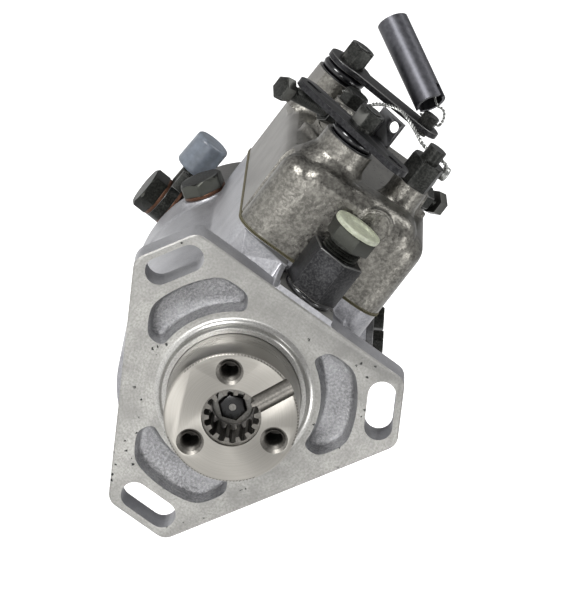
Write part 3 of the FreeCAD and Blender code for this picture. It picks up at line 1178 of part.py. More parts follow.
def outlet_bolts():
    bolts = []
    for i in range(len(OUTLETS)):
        inner, eye, outer, head, angle, turn = outlet_stack(i)
        cap = screw_head(f"Bolt_head_{i}", "bolt_flats", "bolt_head", "bolt_flats * 0.56",
                         polar(head, angle, "outlet_y"), turn, 20)
        shank = rod(f"Bolt_shank_{i}", "bolt_shank", f"{head} - collar_radius + bolt_depth - 1",
                    polar("collar_radius - bolt_depth + 1", angle, "outlet_y"), turn)
        bore = rod(f"Bolt_bore_{i}", "outlet_bore / 2", "bolt_depth + banjo_thick",
                   polar("collar_radius - bolt_depth", angle, "outlet_y"), turn)
        bolts.append(cut(f"Bolt_{i}", fuse(f"Bolt_solid_{i}", cap, shank), bore))
    return group("Bolts", *bolts)


def outlet_caps():
    caps = []
    for i in range(len(OUTLETS)):
        inner, eye, outer, head, angle, turn = outlet_stack(i)
        middle = f"{eye} + banjo_thick / 2"
        tangent = outward(value(angle) - STUB_SIDES[i] * 90)
        start = f"{STUB_SIDES[i]} * (stub_length - cap_length + cap_wall + seat_gap)"
        shell = rod(f"Cap_shell_{i}", "cap_radius", "cap_length", across_outlet(angle, middle, start), tangent)
        socket = rod(f"Cap_socket_{i}", "stub_radius - 0.6 + seat_gap", "cap_length - cap_wall",
                     across_outlet(angle, middle, start), tangent)
        caps.append(cut(f"Cap_cover_{i}", shell, socket))
    return group("Caps", *caps)


# Metering valve, governor arm and control bracket
def metering_valve():
    at = ("metering_x", "metering_y", "metering_bottom")
    stem = rod("Metering_stem", "metering_radius", "metering_lever - metering_bottom", at)
    lever = block("Metering_lever", "link_x - metering_x + 2 * link_radius", "2 * metering_radius - 1", "1.5",
                  ("(link_x + metering_x) / 2", "metering_y", "metering_lever"))
    hub = rod("Metering_hub", "metering_radius", "1.5", ("metering_x", "metering_y", "metering_lever"))
    pin = rod("Metering_pin", "link_radius - 0.2", "link_z + 4 - metering_lever", ("link_x", "metering_y", "metering_lever"))
    return fuse("Metering", stem, lever, hub, pin)


def control_bracket():
    base = "bracket_top - bracket_thick"
    rest = rounded_block("Bracket_plate", f"{DECK_WIDTH} - 2 * deck_land - 2 * seat_gap", "bracket_rear - bracket_front",
                         "bracket_thick", "bracket_thick", None, (SPACE_X, "(bracket_front + bracket_rear) / 2", base))
    inside = "leg_outer + 1"
    window = block("Bracket_window", f"2 * ({inside})", "26", "3 * bracket_thick", ("0", f"{ARM_Y} + 1", f"{base} - bracket_thick"))
    cheeks = [
        block(f"Bracket_cheek_{i}", "cheek_thick", "3 * arm_hub", "bracket_top - arm_pivot_z + 2 * arm_hub",
              (f"{side} * ({inside} + cheek_thick / 2)", ARM_Y, "arm_pivot_z - 2 * arm_hub + 1"))
        for i, side in enumerate((-1, 1))
    ]
    holes = [rod(f"Bracket_hole_{i}", "cap_nut_stud", "40", (x, y, "stud_foot - 20")) for i, (x, y) in enumerate(COVER_NUTS)]
    pin = rod("Bracket_pin", "arm_pin", f"2 * ({inside})", (f"-({inside})", ARM_Y, "arm_pivot_z"), level(0))
    solid = fuse("Bracket_solid", cut("Bracket_frame", fuse("Bracket_blank", rest, *cheeks), window), pin)
    return cut("Bracket", solid, *holes)


def governor_arm():
    # A forked plate: two legs astride the shaft, a crossbar, a hub on the pivot pin and a tongue above it
    width = "2 * leg_outer"
    crossbar_bottom = "shaft_radius + 12"
    bar = block("Arm_bar", width, "arm_thick", f"arm_pivot_z - ({crossbar_bottom})", ("0", ARM_Y, crossbar_bottom))
    legs = [
        block(f"Arm_leg_{i}", "leg_outer - leg_inner", "arm_thick", f"({crossbar_bottom}) - leg_bottom",
              (f"{side} * (leg_outer + leg_inner) / 2", ARM_Y, "leg_bottom"))
        for i, side in enumerate((-1, 1))
    ]
    hub = rod("Arm_hub", "arm_hub", width, ("-leg_outer", ARM_Y, "arm_pivot_z"), level(0))
    tongue = block("Arm_tongue", f"link_x - ({TAIL_X}) + 6", "arm_thick / 2", "arm_top - arm_pivot_z",
                   (f"(link_x + {TAIL_X}) / 2", ARM_Y, "arm_pivot_z"))
    bore = rod("Arm_bore", "arm_pin + run_gap", "3 * leg_outer", ("-1.5 * leg_outer", ARM_Y, "arm_pivot_z"), level(0))
    holes = [
        rod("Arm_spring_hole", "spring_wire + 0.3", "3 * arm_thick", (TAIL_X, f"{ARM_Y} - 1.5 * arm_thick", "spring_z"), AXIAL),
        rod("Arm_link_hole", "link_radius + 0.3", "3 * arm_thick", ("link_x", f"{ARM_Y} - 1.5 * arm_thick", "link_z"), AXIAL),
    ]
    return cut("Arm", fuse("Arm_solid", bar, hub, tongue, *legs), bore, *holes)


def linkage_hook():
    # The rod between the arm's top and the metering valve's lever, bent down in front of the arm
    start = f"{ARM_Y} - arm_thick / 4 - 2 * link_radius"
    run = f"metering_y - link_radius - 0.6 - ({start})"
    bar = rod("Hook_bar", "link_radius", run, ("link_x", start, "link_z"), AXIAL)
    bend = rod("Hook_bend", "link_radius", "4", ("link_x", start, "link_z - 4"))
    elbow = ball("Hook_elbow", "link_radius", ("link_x", start, "link_z"))
    eye = rod("Hook_eye", "2 * link_radius + 0.5", "2 * link_radius + 0.6",
              ("link_x", "metering_y", "link_z - link_radius - 0.3"))
    hole = rod("Hook_hole", "link_radius + 0.3", "6 * link_radius", ("link_x", "metering_y", "link_z - 3 * link_radius"))
    return cut("Hook", fuse("Hook_solid", bar, bend, elbow, eye), hole)


def governor_spring():
    # Its front tail hooks round the throttle crank's pin, and its rear tail through the arm
    start = f"{CRANK_Y} + crank_pin + 2.5"
    end = f"{ARM_Y} - arm_thick / 4 - 1.5"
    wound = coil("Governor_coil", "spring_radius", "spring_wire", f"{end} - ({start})", 8, (f"{TAIL_X} - spring_radius", start, "spring_z"), AXIAL)
    nose = f"{CRANK_Y} - crank_pin - spring_wire - 0.1"
    tail = f"{ARM_Y} + arm_thick / 4 + spring_wire + 0.1"
    return fuse("Governor_spring_whole", wound, *wire_run("Governor_tail", "spring_wire", [
        (f"{TAIL_X} - 3", nose, "spring_z"), (TAIL_X, nose, "spring_z"), (TAIL_X, start, "spring_z"),
    ]), *wire_run("Governor_nose", "spring_wire", [
        (TAIL_X, end, "spring_z"), (TAIL_X, tail, "spring_z"), (TAIL_X, tail, "spring_z - 3"),
    ]))


# Throttle and stop shafts with their levers
def spindle(name, x, y, lever_z, crank_angle, pin=None):
    # A plain shaft with a thread for the nut on top and a crank under the cover
    top = f"{lever_z} + lever_thick + nut_height + thread_proud"
    shaft = rod(f"{name}_shaft", "spindle_radius", f"({lever_z}) - spindle_bottom", (x, y, "spindle_bottom"))
    thread = rod(f"{name}_thread", "spindle_thread", f"{top} - ({lever_z})", (x, y, lever_z))
    crank_z = "spindle_bottom - lever_thick"
    web = rod(f"{name}_web", "spindle_radius", "lever_thick", (x, y, crank_z))
    turn = Rotation(Vector(0, 0, 1), value(crank_angle))
    crank = block(f"{name}_crank", "crank_length + 2", "spindle_radius", "lever_thick",
                  (f"{x} + (crank_length + 2) / 2 * cos({crank_angle})", f"{y} + (crank_length + 2) / 2 * sin({crank_angle})",
                   crank_z), turn)
    pieces = [shaft, thread, web, crank]
    if pin:
        pieces.append(rod(f"{name}_pin", pin, "6", (CRANK_X, CRANK_Y, f"{crank_z} - 5")))
    return fuse(name, *pieces)


def shaft_nut(name, x, y, lever_z, spin):
    seat = f"{lever_z} + lever_thick"
    face = rod(f"{name}_face", "nut_washer", "1", (x, y, seat))
    body = screw_head(f"{name}_hex", "nut_flats", "nut_height - 1", "nut_flats * 0.56", (x, y, f"{seat} + 1"), UP, spin)
    hole = rod(f"{name}_hole", "spindle_thread", "3 * nut_height", (x, y, f"{seat} - nut_height"))
    return cut(name, fuse(f"{name}_solid", face, body), hole)


def beside(x, y, turn, along, across):
    # A point given along and across a lever that turns about x, y
    return (f"{x} + ({along}) * cos({turn}) - ({across}) * sin({turn})",
            f"{y} + ({along}) * sin({turn}) + ({across}) * cos({turn})")


def throttle_lever():
    turn = Rotation(Vector(0, 0, 1), value("throttle_turn"))
    z = "throttle_lever_z"

    def spot(along, across):
        return beside("throttle_x", "throttle_y", "throttle_turn", along, across)

    bar = block("Throttle_bar", "throttle_left + throttle_right", "2 * throttle_half", "lever_thick",
                (*spot("(throttle_right - throttle_left) / 2", "-throttle_shift"), z), turn)
    ends = [
        rod(f"Throttle_end_{i}", "throttle_half", "lever_thick", (*spot(along, "-throttle_shift"), z))
        for i, along in enumerate(("-throttle_left", "throttle_right"))
    ]
    eye = rod("Throttle_eye", "spindle_thread + 4", "lever_thick", (*spot("0", "0"), z))
    middle = "ear_start + ear_length / 2"
    ear = block("Throttle_ear", "ear_length", "ear_thick", "ear_height", (*spot(middle, "ear_back + ear_thick / 2"), z), turn)
    foot = block("Throttle_foot", "ear_length", "throttle_shift + ear_back + ear_thick", "lever_thick",
                 (*spot(middle, "(ear_back + ear_thick - throttle_shift) / 2"), z), turn)
    tools = [rod("Throttle_eye_hole", "spindle_thread", "3 * lever_thick", (*spot("0", "0"), f"{z} - lever_thick"))]
    for i, side in enumerate((-1, 1)):
        along = "-throttle_left" if side < 0 else "throttle_right"
        tools.append(block(f"Throttle_slot_{i}", "lever_slot_run", "lever_slot", "3 * lever_thick",
                           (*spot(along, "-throttle_shift"), f"{z} - lever_thick"), turn))
        for j, end in enumerate((-1, 1)):
            tools.append(rod(f"Throttle_slot_end_{i}_{j}", "lever_slot / 2", "3 * lever_thick",
                             (*spot(f"{along} + {end} * lever_slot_run / 2", "-throttle_shift"), f"{z} - lever_thick")))
    tools.append(rod("Throttle_ear_hole", "ear_hole", "3 * ear_thick",
                     (*spot(f"{middle} + ear_hole_shift", "ear_back - ear_thick"), f"{z} + ear_height - ear_hole - ear_margin"),
                     level(value("throttle_turn") + 90)))
    return cut("Throttle_lever", fuse("Throttle_lever_solid", bar, eye, foot, ear, *ends), *tools)


def stop_lever():
    turn = Rotation(Vector(0, 0, 1), value("stop_turn"))
    z = "stop_lever_z"

    def spot(along, across):
        return beside("stop_x", "stop_y", "stop_turn", along, across)

    eye = rod("Stop_eye", "stop_boss - 0.5", "lever_thick", (*spot("0", "0"), z))
    bar = block("Stop_bar", "stop_reach", "2 * stop_half", "lever_thick", (*spot("stop_reach / 2", "-stop_shift"), z), turn)
    end = rod("Stop_end", "stop_half", "lever_thick", (*spot("stop_reach", "-stop_shift"), z))
    tools = [
        rod("Stop_eye_hole", "spindle_thread", "3 * lever_thick", (*spot("0", "0"), f"{z} - lever_thick")),
        rod("Stop_clamp_hole", "clamp_radius", "3 * lever_thick", (*spot("stop_reach", "-stop_shift"), f"{z} - lever_thick")),
    ]
    return cut("Stop_lever", fuse("Stop_lever_solid", eye, bar, end), *tools)


def lever_clamp_screw():
    x, y = beside("stop_x", "stop_y", "stop_turn", "stop_reach", "-stop_shift")
    seat = "stop_lever_z + lever_thick"
    head = screw_head("Clamp_hex", "clamp_flats", "clamp_height", "clamp_flats * 0.56", (x, y, seat), UP, 10)
    shank = rod("Clamp_shank", "clamp_radius", "lever_thick + 1.5", (x, y, "stop_lever_z - 1.5"))
    hole = rod("Clamp_wire_hole", "tie_radius * 1.4", "3 * clamp_flats", (f"{x} - 1.5 * clamp_flats", y, f"{seat} + clamp_height / 2"), level(0))
    return cut("Clamp", fuse("Clamp_solid", head, shank), hole)


def dust_rings():
    rings = []
    for name, x, y, low, high in (("Throttle", "throttle_x", "throttle_y", "throttle_boss_top", "throttle_lever_z"),
                                  ("Stop", "stop_x", "stop_y", "stop_boss_top", "stop_lever_z")):
        disc = rod(f"{name}_dust_disc", "dust_radius", f"{high} - dust_gap - {low}", (x, y, low))
        hole = rod(f"{name}_dust_hole", "spindle_radius + run_gap", "40", (x, y, f"{low} - 10"))
        rings.append(cut(f"{name}_dust_ring", disc, hole))
    return group("Dust_rings", *rings)


# Speed stop screws in the cover's lugs, each with its lock nut
STOPS = (
    ("Long", "speed_lug_x", "speed_lug_y", "speed_z", "speed_angle + 180", "speed_reach"),
    ("Short", "idle_lug_x", "idle_lug_y", "idle_z", "idle_angle", "idle_reach"),
)


def speed_stop_screws():
    screws = []
    for name, x, y, z, angle, out in STOPS:
        turn = level(value(angle))
        face = "lug_long / 2 + lock_nut"
        head = screw_head(f"{name}_stop_head", "speed_flats", "speed_head", "speed_flats * 0.56",
                          reach(x, y, z, angle, f"{face} + {out}"), turn)
        shank = rod(f"{name}_stop_shank", "speed_radius", f"lug_long + lock_nut + {out} + 2",
                    reach(x, y, z, angle, "-lug_long / 2 - 2"), turn)
        screws.append(fuse(f"{name}_stop_screw", head, shank))
    return group("Stop_screws", *screws)


def stop_lock_nuts():
    nuts = []
    for name, x, y, z, angle, out in STOPS:
        turn = level(value(angle))
        seat = reach(x, y, z, angle, "lug_long / 2")
        body = hexagon(f"{name}_nut_hex", "speed_flats", "lock_nut", seat, turn, 30)
        hole = rod(f"{name}_nut_hole", "speed_radius", "lock_nut * 3", reach(x, y, z, angle, "0"), turn)
        nuts.append(cut(f"{name}_nut", body, hole))
    return group("Stop_nuts", *nuts)


# Vent screw on the cover, and the seal wire from it to the front cover nut
def vent_screw():
    head = screw_head("Vent_head", "vent_flats", "vent_head", "vent_flats * 0.56", ("vent_x", "vent_y", "vent_seat"), UP, 5)
    shank = rod("Vent_shank", "vent_radius", "vent_depth + 1", ("vent_x", "vent_y", "vent_seat - vent_depth"))
    hole = rod("Vent_wire_hole", "wire_radius * 1.3", "3 * vent_flats",
               ("vent_x - 1.5 * vent_flats", "vent_y", "vent_seat + vent_head / 2"), level(0))
    return cut("Vent", fuse("Vent_solid", head, shank), hole)


def seal_wire():
    # From the vent screw in one hanging bow to the front nut's crown, through it, and down to its seal
    low = "vent_seat + vent_head / 2"
    high = "cap_nut_seat + cap_nut_hex + cap_nut_top / 2"
    bow = [(0.05, 3.0), (0.28, 5.6), (0.45, 6.0), (0.63, 4.5), (0.8, 2.6)]
    points = [("vent_x - 1.3 * vent_flats / 2", "vent_y", low), ("vent_x + 1.3 * vent_flats / 2", "vent_y", low)]
    for share, rise in bow:
        points.append(tuple(
            f"({start}) + {share} * (({end}) - ({start})) + {lift}"
            for start, end, lift in (("vent_x + 1.3 * vent_flats / 2", "cap_nut_x - 1.3 * cap_nut_crown", 0),
                                     ("vent_y", "cap_nut_y", 0), (low, high, rise))))
    points += [
        ("cap_nut_x - 1.3 * cap_nut_crown", "cap_nut_y", high), ("cap_nut_x + 1.5 * cap_nut_crown", "cap_nut_y", high),
        ("seal_x - 1", "(seal_y + cap_nut_y) / 2", f"(seal_z + {high}) / 2"), ("seal_x", "seal_y", "seal_z"),
    ]
    wire = fuse("Seal_strand", *wire_run("Seal_leg", "wire_radius", points))
    seal = rod("Seal_disc", "seal_disc", "seal_thick", ("seal_x - seal_thick / 2", "seal_y", "seal_z"), level(0))
    return fuse("Seal", wire, seal)


# Tamper sleeve, tied to the stop lever's clamp screw
def along_sleeve(depth, sideways, upwards):
    # A point in the sleeve's own directions, from the middle of its near end
    turn = sleeve_turn()
    ways = [turn.multVec(Vector(*way)) for way in ((0, 0, 1), (0, 1, 0), (1, 0, 0))]
    return tuple(
        f"{start} + ({depth}) * {ways[0][i]:.6f} + ({sideways}) * {ways[1][i]:.6f} + ({upwards}) * {ways[2][i]:.6f}"
        for i, start in enumerate(("tamper_x", "tamper_y", "tamper_z"))
    )


def sleeve_turn():
    # Local Z along the sleeve and local X in the upright plane through it, upwards
    yaw = Rotation(Vector(0, 0, 1), value("tamper_yaw"))
    return yaw.multiply(Rotation(Vector(0, 1, 0), 90 - value("tamper_pitch"))).multiply(Rotation(Vector(0, 0, 1), 180))


def tamper_sleeve():
    near = along_sleeve("0", "0", "0")
    turn = sleeve_turn()
    shell = rod("Tamper_shell", "sleeve_tube", "sleeve_tube_length", near, turn)
    bore = rod("Tamper_bore", "sleeve_tube - sleeve_tube_wall", "sleeve_tube_length - 2", near, turn)
    slit = block("Tamper_slit", "3 * sleeve_tube", "sleeve_slit", "2 * sleeve_slit", near, turn)
    return cut("Tamper", shell, bore, slit)


def sleeve_tie_wire():
    x, y = beside("stop_x", "stop_y", "stop_turn", "stop_reach", "-stop_shift")
    z = "stop_lever_z + lever_thick + clamp_height / 2"
    inside = "sleeve_tube - sleeve_tube_wall - tie_radius - 0.05"
    return fuse("Tie", *wire_run("Tie_leg", "tie_radius", [
        (f"{x} - 0.7 * clamp_flats", y, z), (f"{x} + 0.7 * clamp_flats", y, z),
        (f"{x} + 0.65 * clamp_flats", f"{y} + 1", "tamper_z + 1"),
        along_sleeve("-1.5", "0", "1"), along_sleeve("5", "0", inside),
    ]))


# Everything that is kept, under the name of its file
MAKERS = {
    "pump_housing": pump_housing,
    "governor_cover": governor_cover,
    "cover_gasket": cover_gasket,
    "cover_cap_nuts": cover_cap_nuts,
    "inspection_cover": inspection_cover,
    "inspection_screws": inspection_screws,
    "fuel_adapter": fuel_adapter,
    "adapter_washer": adapter_washer,
    "adapter_plug": adapter_plug,
    "transit_disc": transit_disc,
    "drive_hub": drive_hub,
    "hub_screw": hub_screw,
    "drive_shaft": drive_shaft,
    "hub_oil_seal": hub_oil_seal,
    "shaft_bush": shaft_bush,
    "weight_cage": weight_cage,
    "thrust_sleeve": thrust_sleeve,
    "cam_ring": cam_ring,
    "cam_locking_screw": cam_locking_screw,
    "pump_rotor": pump_rotor,
    "plungers": plungers,
    "roller_shoes": roller_shoes,
    "cam_rollers": rollers,
    "hydraulic_head": hydraulic_head,
    "head_locking_screws": head_locking_screws,
    "locking_washers": locking_washers,
    "transfer_liner": transfer_liner,
    "transfer_vanes": transfer_vanes,
    "end_plate": end_plate,
    "end_plate_screws": end_plate_screws,
    "inlet_union": inlet_union,
    "regulating_piston": regulating_piston,
    "regulating_spring": regulating_spring,
    "outlet_washers": outlet_washers,
    "outlet_banjos": outlet_banjos,
    "outlet_bolts": outlet_bolts,
    "outlet_caps": outlet_caps,
    "metering_valve": metering_valve,
    "control_bracket": control_bracket,
    "governor_arm": governor_arm,
    "linkage_hook": linkage_hook,
    "governor_spring": governor_spring,
    "throttle_shaft": lambda: spindle("Throttle", "throttle_x", "throttle_y", "throttle_lever_z", "throttle_crank", "crank_pin"),
    "throttle_lever": throttle_lever,
    "throttle_nut": lambda: shaft_nut("Throttle_nut", "throttle_x", "throttle_y", "throttle_lever_z", 15),
    "stop_shaft": lambda: spindle("Stop", "stop_x", "stop_y", "stop_lever_z", "stop_crank"),
    "stop_lever": stop_lever,
    "stop_nut": lambda: shaft_nut("Stop_nut", "stop_x", "stop_y", "stop_lever_z", 20),
    "lever_clamp_screw": lever_clamp_screw,
    "dust_rings": dust_rings,
    "speed_stop_screws": speed_stop_screws,
    "stop_lock_nuts": stop_lock_nuts,
    "vent_screw": vent_screw,
    "seal_wire": seal_wire,
    "tamper_sleeve": tamper_sleeve,
    "sleeve_tie_wire": sleeve_tie_wire,
}
for weight in range(4):
    MAKERS[f"governor_weight_{weight + 1}"] = lambda weight=weight: governor_weight(weight)

for label, maker in MAKERS.items():
    keep(label, maker())
doc.recompute()

failed = [item.Name for item in doc.Objects if {"Invalid", "Error"} & set(item.State)]
broken = [piece.Label for piece in PARTS if piece.Shape.isNull() or not piece.Shape.isValid()]
if failed or broken:
    raise RuntimeError(f"failed objects: {failed}, unsound shapes: {broken}")
os.makedirs("parts", exist_ok=True)
for piece in PARTS:
    piece.Shape.exportStep(f"parts/{piece.Label}.step")
    print(f"{piece.Label}: {len(piece.Shape.Solids)} solids, {piece.Shape.Volume:.1f} mm3")
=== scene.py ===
# Rotary diesel injection pump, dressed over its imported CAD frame. Metres, drive end towards -Y, cover up.
import bpy
import json
import math
from mathutils import Matrix, Vector


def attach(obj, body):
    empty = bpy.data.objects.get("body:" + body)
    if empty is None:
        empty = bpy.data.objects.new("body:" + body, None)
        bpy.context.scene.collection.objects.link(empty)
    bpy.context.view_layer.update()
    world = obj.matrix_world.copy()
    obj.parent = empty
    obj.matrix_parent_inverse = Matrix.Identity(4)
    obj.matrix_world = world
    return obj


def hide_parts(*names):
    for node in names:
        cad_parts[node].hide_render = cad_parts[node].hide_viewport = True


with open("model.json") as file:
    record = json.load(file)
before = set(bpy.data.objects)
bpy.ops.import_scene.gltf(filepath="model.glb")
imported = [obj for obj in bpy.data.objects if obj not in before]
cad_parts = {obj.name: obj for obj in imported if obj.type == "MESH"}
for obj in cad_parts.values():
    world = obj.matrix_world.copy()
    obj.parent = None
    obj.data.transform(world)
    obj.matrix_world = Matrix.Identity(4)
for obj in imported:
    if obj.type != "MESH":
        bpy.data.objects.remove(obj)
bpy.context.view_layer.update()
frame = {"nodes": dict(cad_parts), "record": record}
print("frame loaded")

mm = 0.001


# colours are written as sRGB hex and used as linear light
def linear(hexColour):
    parts = [int(hexColour[i:i + 2], 16) / 255 for i in (1, 3, 5)]
    return [p / 12.92 if p <= 0.04045 else ((p + 0.055) / 1.055) ** 2.4 for p in parts] + [1.0]


# one shader node with its settings and the links into it
def addNode(tree, kind, settings=None, **links):
    node = tree.nodes.new(kind)
    for name, value in (settings or {}).items():
        if name in node.inputs.keys():
            node.inputs[name].default_value = value
        elif name.isdigit():
            node.inputs[int(name)].default_value = value
        else:
            setattr(node, name, value)
    for name, source in links.items():
        key = int(name[1:]) if name[0] == "i" and name[1:].isdigit() else name.replace("_", " ")
        tree.links.new(source, node.inputs[key])
    return node


def newMaterial(name, settings):
    material = bpy.data.materials.new(name)
    material.use_nodes = True
    tree = material.node_tree
    tree.nodes.clear()
    output = tree.nodes.new("ShaderNodeOutputMaterial")
    shader = addNode(tree, "ShaderNodeBsdfPrincipled", settings)
    tree.links.new(shader.outputs[0], output.inputs[0])
    place = tree.nodes.new("ShaderNodeTexCoord").outputs["Object"]
    return material, tree, shader, place


# noise with a grain of so many millimetres
def grain(tree, place, size, detail=2.0, roughness=0.5):
    return addNode(tree, "ShaderNodeTexNoise", {"Scale": 1 / (size * mm), "Detail": detail, "Roughness": roughness},
                   Vector=place)


def spread(tree, source, low, high, lowValue, highValue):
    limits = {"From Min": low, "From Max": high, "To Min": lowValue, "To Max": highValue}
    return addNode(tree, "ShaderNodeMapRange", limits, Value=source).outputs[0]


def blendColours(tree, amount, first, second):
    node = addNode(tree, "ShaderNodeMix", {"data_type": "RGBA"})
    tree.links.new(amount, node.inputs["Factor"])
    for index, colour in ((6, first), (7, second)):
        if isinstance(colour, str):
            node.inputs[index].default_value = linear(colour)
        else:
            tree.links.new(colour, node.inputs[index])
    return node.outputs[2]


def paint(tree, shader, colour):
    tree.links.new(colour, shader.inputs["Base Color"])


def addBump(tree, shader, height, distance, strength=1.0, under=None):
    node = addNode(tree, "ShaderNodeBump", {"Distance": distance * mm, "Strength": strength}, Height=height)
    if under:
        tree.links.new(under, node.inputs["Normal"])
    tree.links.new(node.outputs[0], shader.inputs["Normal"])
    return node.outputs[0]


# lighter along the edges of a dark part: partly wear, partly a painted highlight
def edgeWearAndHighlight(tree, colour, paleTone):
    edge = tree.nodes.new("ShaderNodeNewGeometry").outputs["Pointiness"]
    return blendColours(tree, spread(tree, edge, 0.57, 0.67, 0, 1), colour, paleTone)


# rings round the drive axis, as a lathe or a facing cutter leaves them
def turnedRings(tree, place, size, detail=2.0):
    apart = addNode(tree, "ShaderNodeSeparateXYZ", Vector=place)
    flat = addNode(tree, "ShaderNodeCombineXYZ", X=apart.outputs["X"], Y=apart.outputs["Z"])
    reach = addNode(tree, "ShaderNodeVectorMath", {"operation": "LENGTH"}, i0=flat.outputs[0])
    return addNode(tree, "ShaderNodeTexNoise", {"noise_dimensions": "1D", "Scale": 1 / (size * mm), "Detail": detail},
                   W=reach.outputs["Value"]).outputs[0]


# milled aluminium casting: pale and cloudy, with faint cutter rings, a few pores and painted shade towards the top
def milledAluminium(name="milled cast aluminium"):
    material, tree, shader, place = newMaterial(name, {"Metallic": 0.7, "Roughness": 0.46})
    clouds = grain(tree, place, 11, 4, 0.6).outputs[0]
    fine = grain(tree, place, 0.8, 2, 0.6).outputs[0]
    rings = turnedRings(tree, place, 0.7)
    pale = blendColours(tree, spread(tree, clouds, 0.36, 0.64, 0, 1), "#92918e", "#b2b1ad")
    ringed = blendColours(tree, spread(tree, rings, 0.35, 0.7, 0, 0.3), pale, "#868581")
    tone = blendColours(tree, spread(tree, fine, 0.4, 0.7, 0, 0.7), ringed, "#82817d")
    bent = addNode(tree, "ShaderNodeVectorMath", {"operation": "MULTIPLY_ADD", "1": (0.0012, 0.0012, 0.0012)},
                   i0=grain(tree, place, 0.7, 1).outputs["Color"], i2=place)
    pores = addNode(tree, "ShaderNodeTexVoronoi", {"Scale": 1 / (3.0 * mm), "Randomness": 1.0}, Vector=bent.outputs[0])
    where = grain(tree, place, 12, 1).outputs[0]
    low = addNode(tree, "ShaderNodeSeparateXYZ", Vector=place).outputs["Z"]
    likely = addNode(tree, "ShaderNodeMath", {"operation": "ADD"}, i0=where,
                     i1=spread(tree, low, -0.035, -0.01, 0.16, 0.02))
    pore = addNode(tree, "ShaderNodeMath", {"operation": "MULTIPLY"},
                   i0=spread(tree, pores.outputs["Distance"], 0.14, 0.19, 1, 0),
                   i1=spread(tree, likely.outputs[0], 0.6, 0.64, 0, 1))
    # painted shade: the face turns darker towards the top, near the deck
    paintedTopShade = blendColours(tree, spread(tree, low, 0.006, 0.036, 0, 0.42), tone, "#767573")
    paint(tree, shader, blendColours(tree, pore.outputs[0], paintedTopShade, "#2b2b2b"))
    tree.links.new(spread(tree, fine, 0.3, 0.7, 0.4, 0.54), shader.inputs["Roughness"])
    under = addBump(tree, shader, rings, 0.02, 0.4)
    addBump(tree, shader, fine, 0.04, 0.6, under)
    return material


# sand-cast aluminium, lightly blasted: cool grey, grainy
def castAluminium(name="sand-cast aluminium", low="#7e7e82", high="#959598", bright="#b4b4b7", depth=0.14):
    material, tree, shader, place = newMaterial(name, {"Metallic": 0.75})
    clouds = grain(tree, place, 12, 3).outputs[0]
    fine = grain(tree, place, 0.9, 3, 0.7).outputs[0]
    dull = blendColours(tree, spread(tree, clouds, 0.35, 0.65, 0, 1), low, high)
    tone = blendColours(tree, spread(tree, fine, 0.4, 0.7, 0, 0.6), dull, bright)
    paint(tree, shader, tone)
    tree.links.new(spread(tree, fine, 0.3, 0.7, 0.32, 0.5), shader.inputs["Roughness"])
    addBump(tree, shader, fine, depth, 0.7)
    return material


# tumbled and shot-blasted cover casting: warm grey, mottled, with bright specks
def blastedAluminium():
    material, tree, shader, place = newMaterial("shot-blasted aluminium", {"Metallic": 0.9})
    clouds = grain(tree, place, 6, 4, 0.6).outputs[0]
    shot = grain(tree, place, 1.1, 3, 0.6).outputs[0]
    dull = blendColours(tree, spread(tree, clouds, 0.34, 0.66, 0, 1), "#514f4b", "#676560")
    tone = blendColours(tree, spread(tree, shot, 0.42, 0.72, 0, 0.7), dull, "#918f88")
    paint(tree, shader, tone)
    tree.links.new(spread(tree, shot, 0.3, 0.7, 0.26, 0.4), shader.inputs["Roughness"])
    addBump(tree, shader, shot, 0.17, 0.8)
    return material


# the flat left wall of the cover came smooth out of its die
def dieFace():
    material, tree, shader, place = newMaterial("smooth cast aluminium", {"Metallic": 0.8})
    clouds = grain(tree, place, 14, 3, 0.6).outputs[0]
    fine = grain(tree, place, 0.5, 2, 0.6).outputs[0]
    tone = blendColours(tree, spread(tree, clouds, 0.35, 0.65, 0, 1), "#6c6a67", "#807e7b")
    paint(tree, shader, blendColours(tree, spread(tree, fine, 0.4, 0.7, 0, 0.3), tone, "#97958f"))
    tree.links.new(spread(tree, fine, 0.3, 0.7, 0.4, 0.5), shader.inputs["Roughness"])
    addBump(tree, shader, fine, 0.03, 0.6)
    return material


# ground steel, turned on a lathe: its fine rings stretch the highlights into rays
def turnedSteel():
    material, tree, shader, place = newMaterial("turned steel", {"Metallic": 1.0, "Anisotropic": 0.85})
    rings = turnedRings(tree, place, 0.3, 4)
    paint(tree, shader, blendColours(tree, spread(tree, rings, 0.35, 0.65, 0, 1), "#96938d", "#9d9a94"))
    tree.links.new(spread(tree, rings, 0.3, 0.7, 0.3, 0.34), shader.inputs["Roughness"])
    tangent = addNode(tree, "ShaderNodeTangent", {"direction_type": "RADIAL", "axis": "Y"})
    tree.links.new(tangent.outputs[0], shader.inputs["Tangent"])
    return material


# steel blackened in hot oxide: near black, satin, with edges lightened partly by wear and partly as a painted
# highlight
def blackOxide(name="black oxide steel", colour="#1c1d1b", paleTone="#5c5c59", roughness=0.36, grit=0.03):
    material, tree, shader, place = newMaterial(name, {"Metallic": 0.8})
    fine = grain(tree, place, 0.7, 2, 0.6).outputs[0]
    tone = blendColours(tree, spread(tree, fine, 0.4, 0.72, 0, 0.3), colour, paleTone)
    # the edges are painted lighter: partly wear, partly a painted highlight
    paint(tree, shader, edgeWearAndHighlight(tree, tone, paleTone))
    tree.links.new(spread(tree, fine, 0.3, 0.7, roughness - 0.05, roughness + 0.08), shader.inputs["Roughness"])
    addBump(tree, shader, fine, grit, 0.5)
    return material


# browned tube: a smooth gunmetal grey with faint marks along it
def brownedSteel():
    material, tree, shader, place = newMaterial("browned steel tube", {"Metallic": 0.9})
    fine = grain(tree, place, 1.6, 3, 0.6).outputs[0]
    paint(tree, shader, blendColours(tree, spread(tree, fine, 0.35, 0.7, 0, 1), "#424246", "#525256"))
    tree.links.new(spread(tree, fine, 0.3, 0.7, 0.4, 0.46), shader.inputs["Roughness"])
    addBump(tree, shader, fine, 0.01, 0.4)
    return material


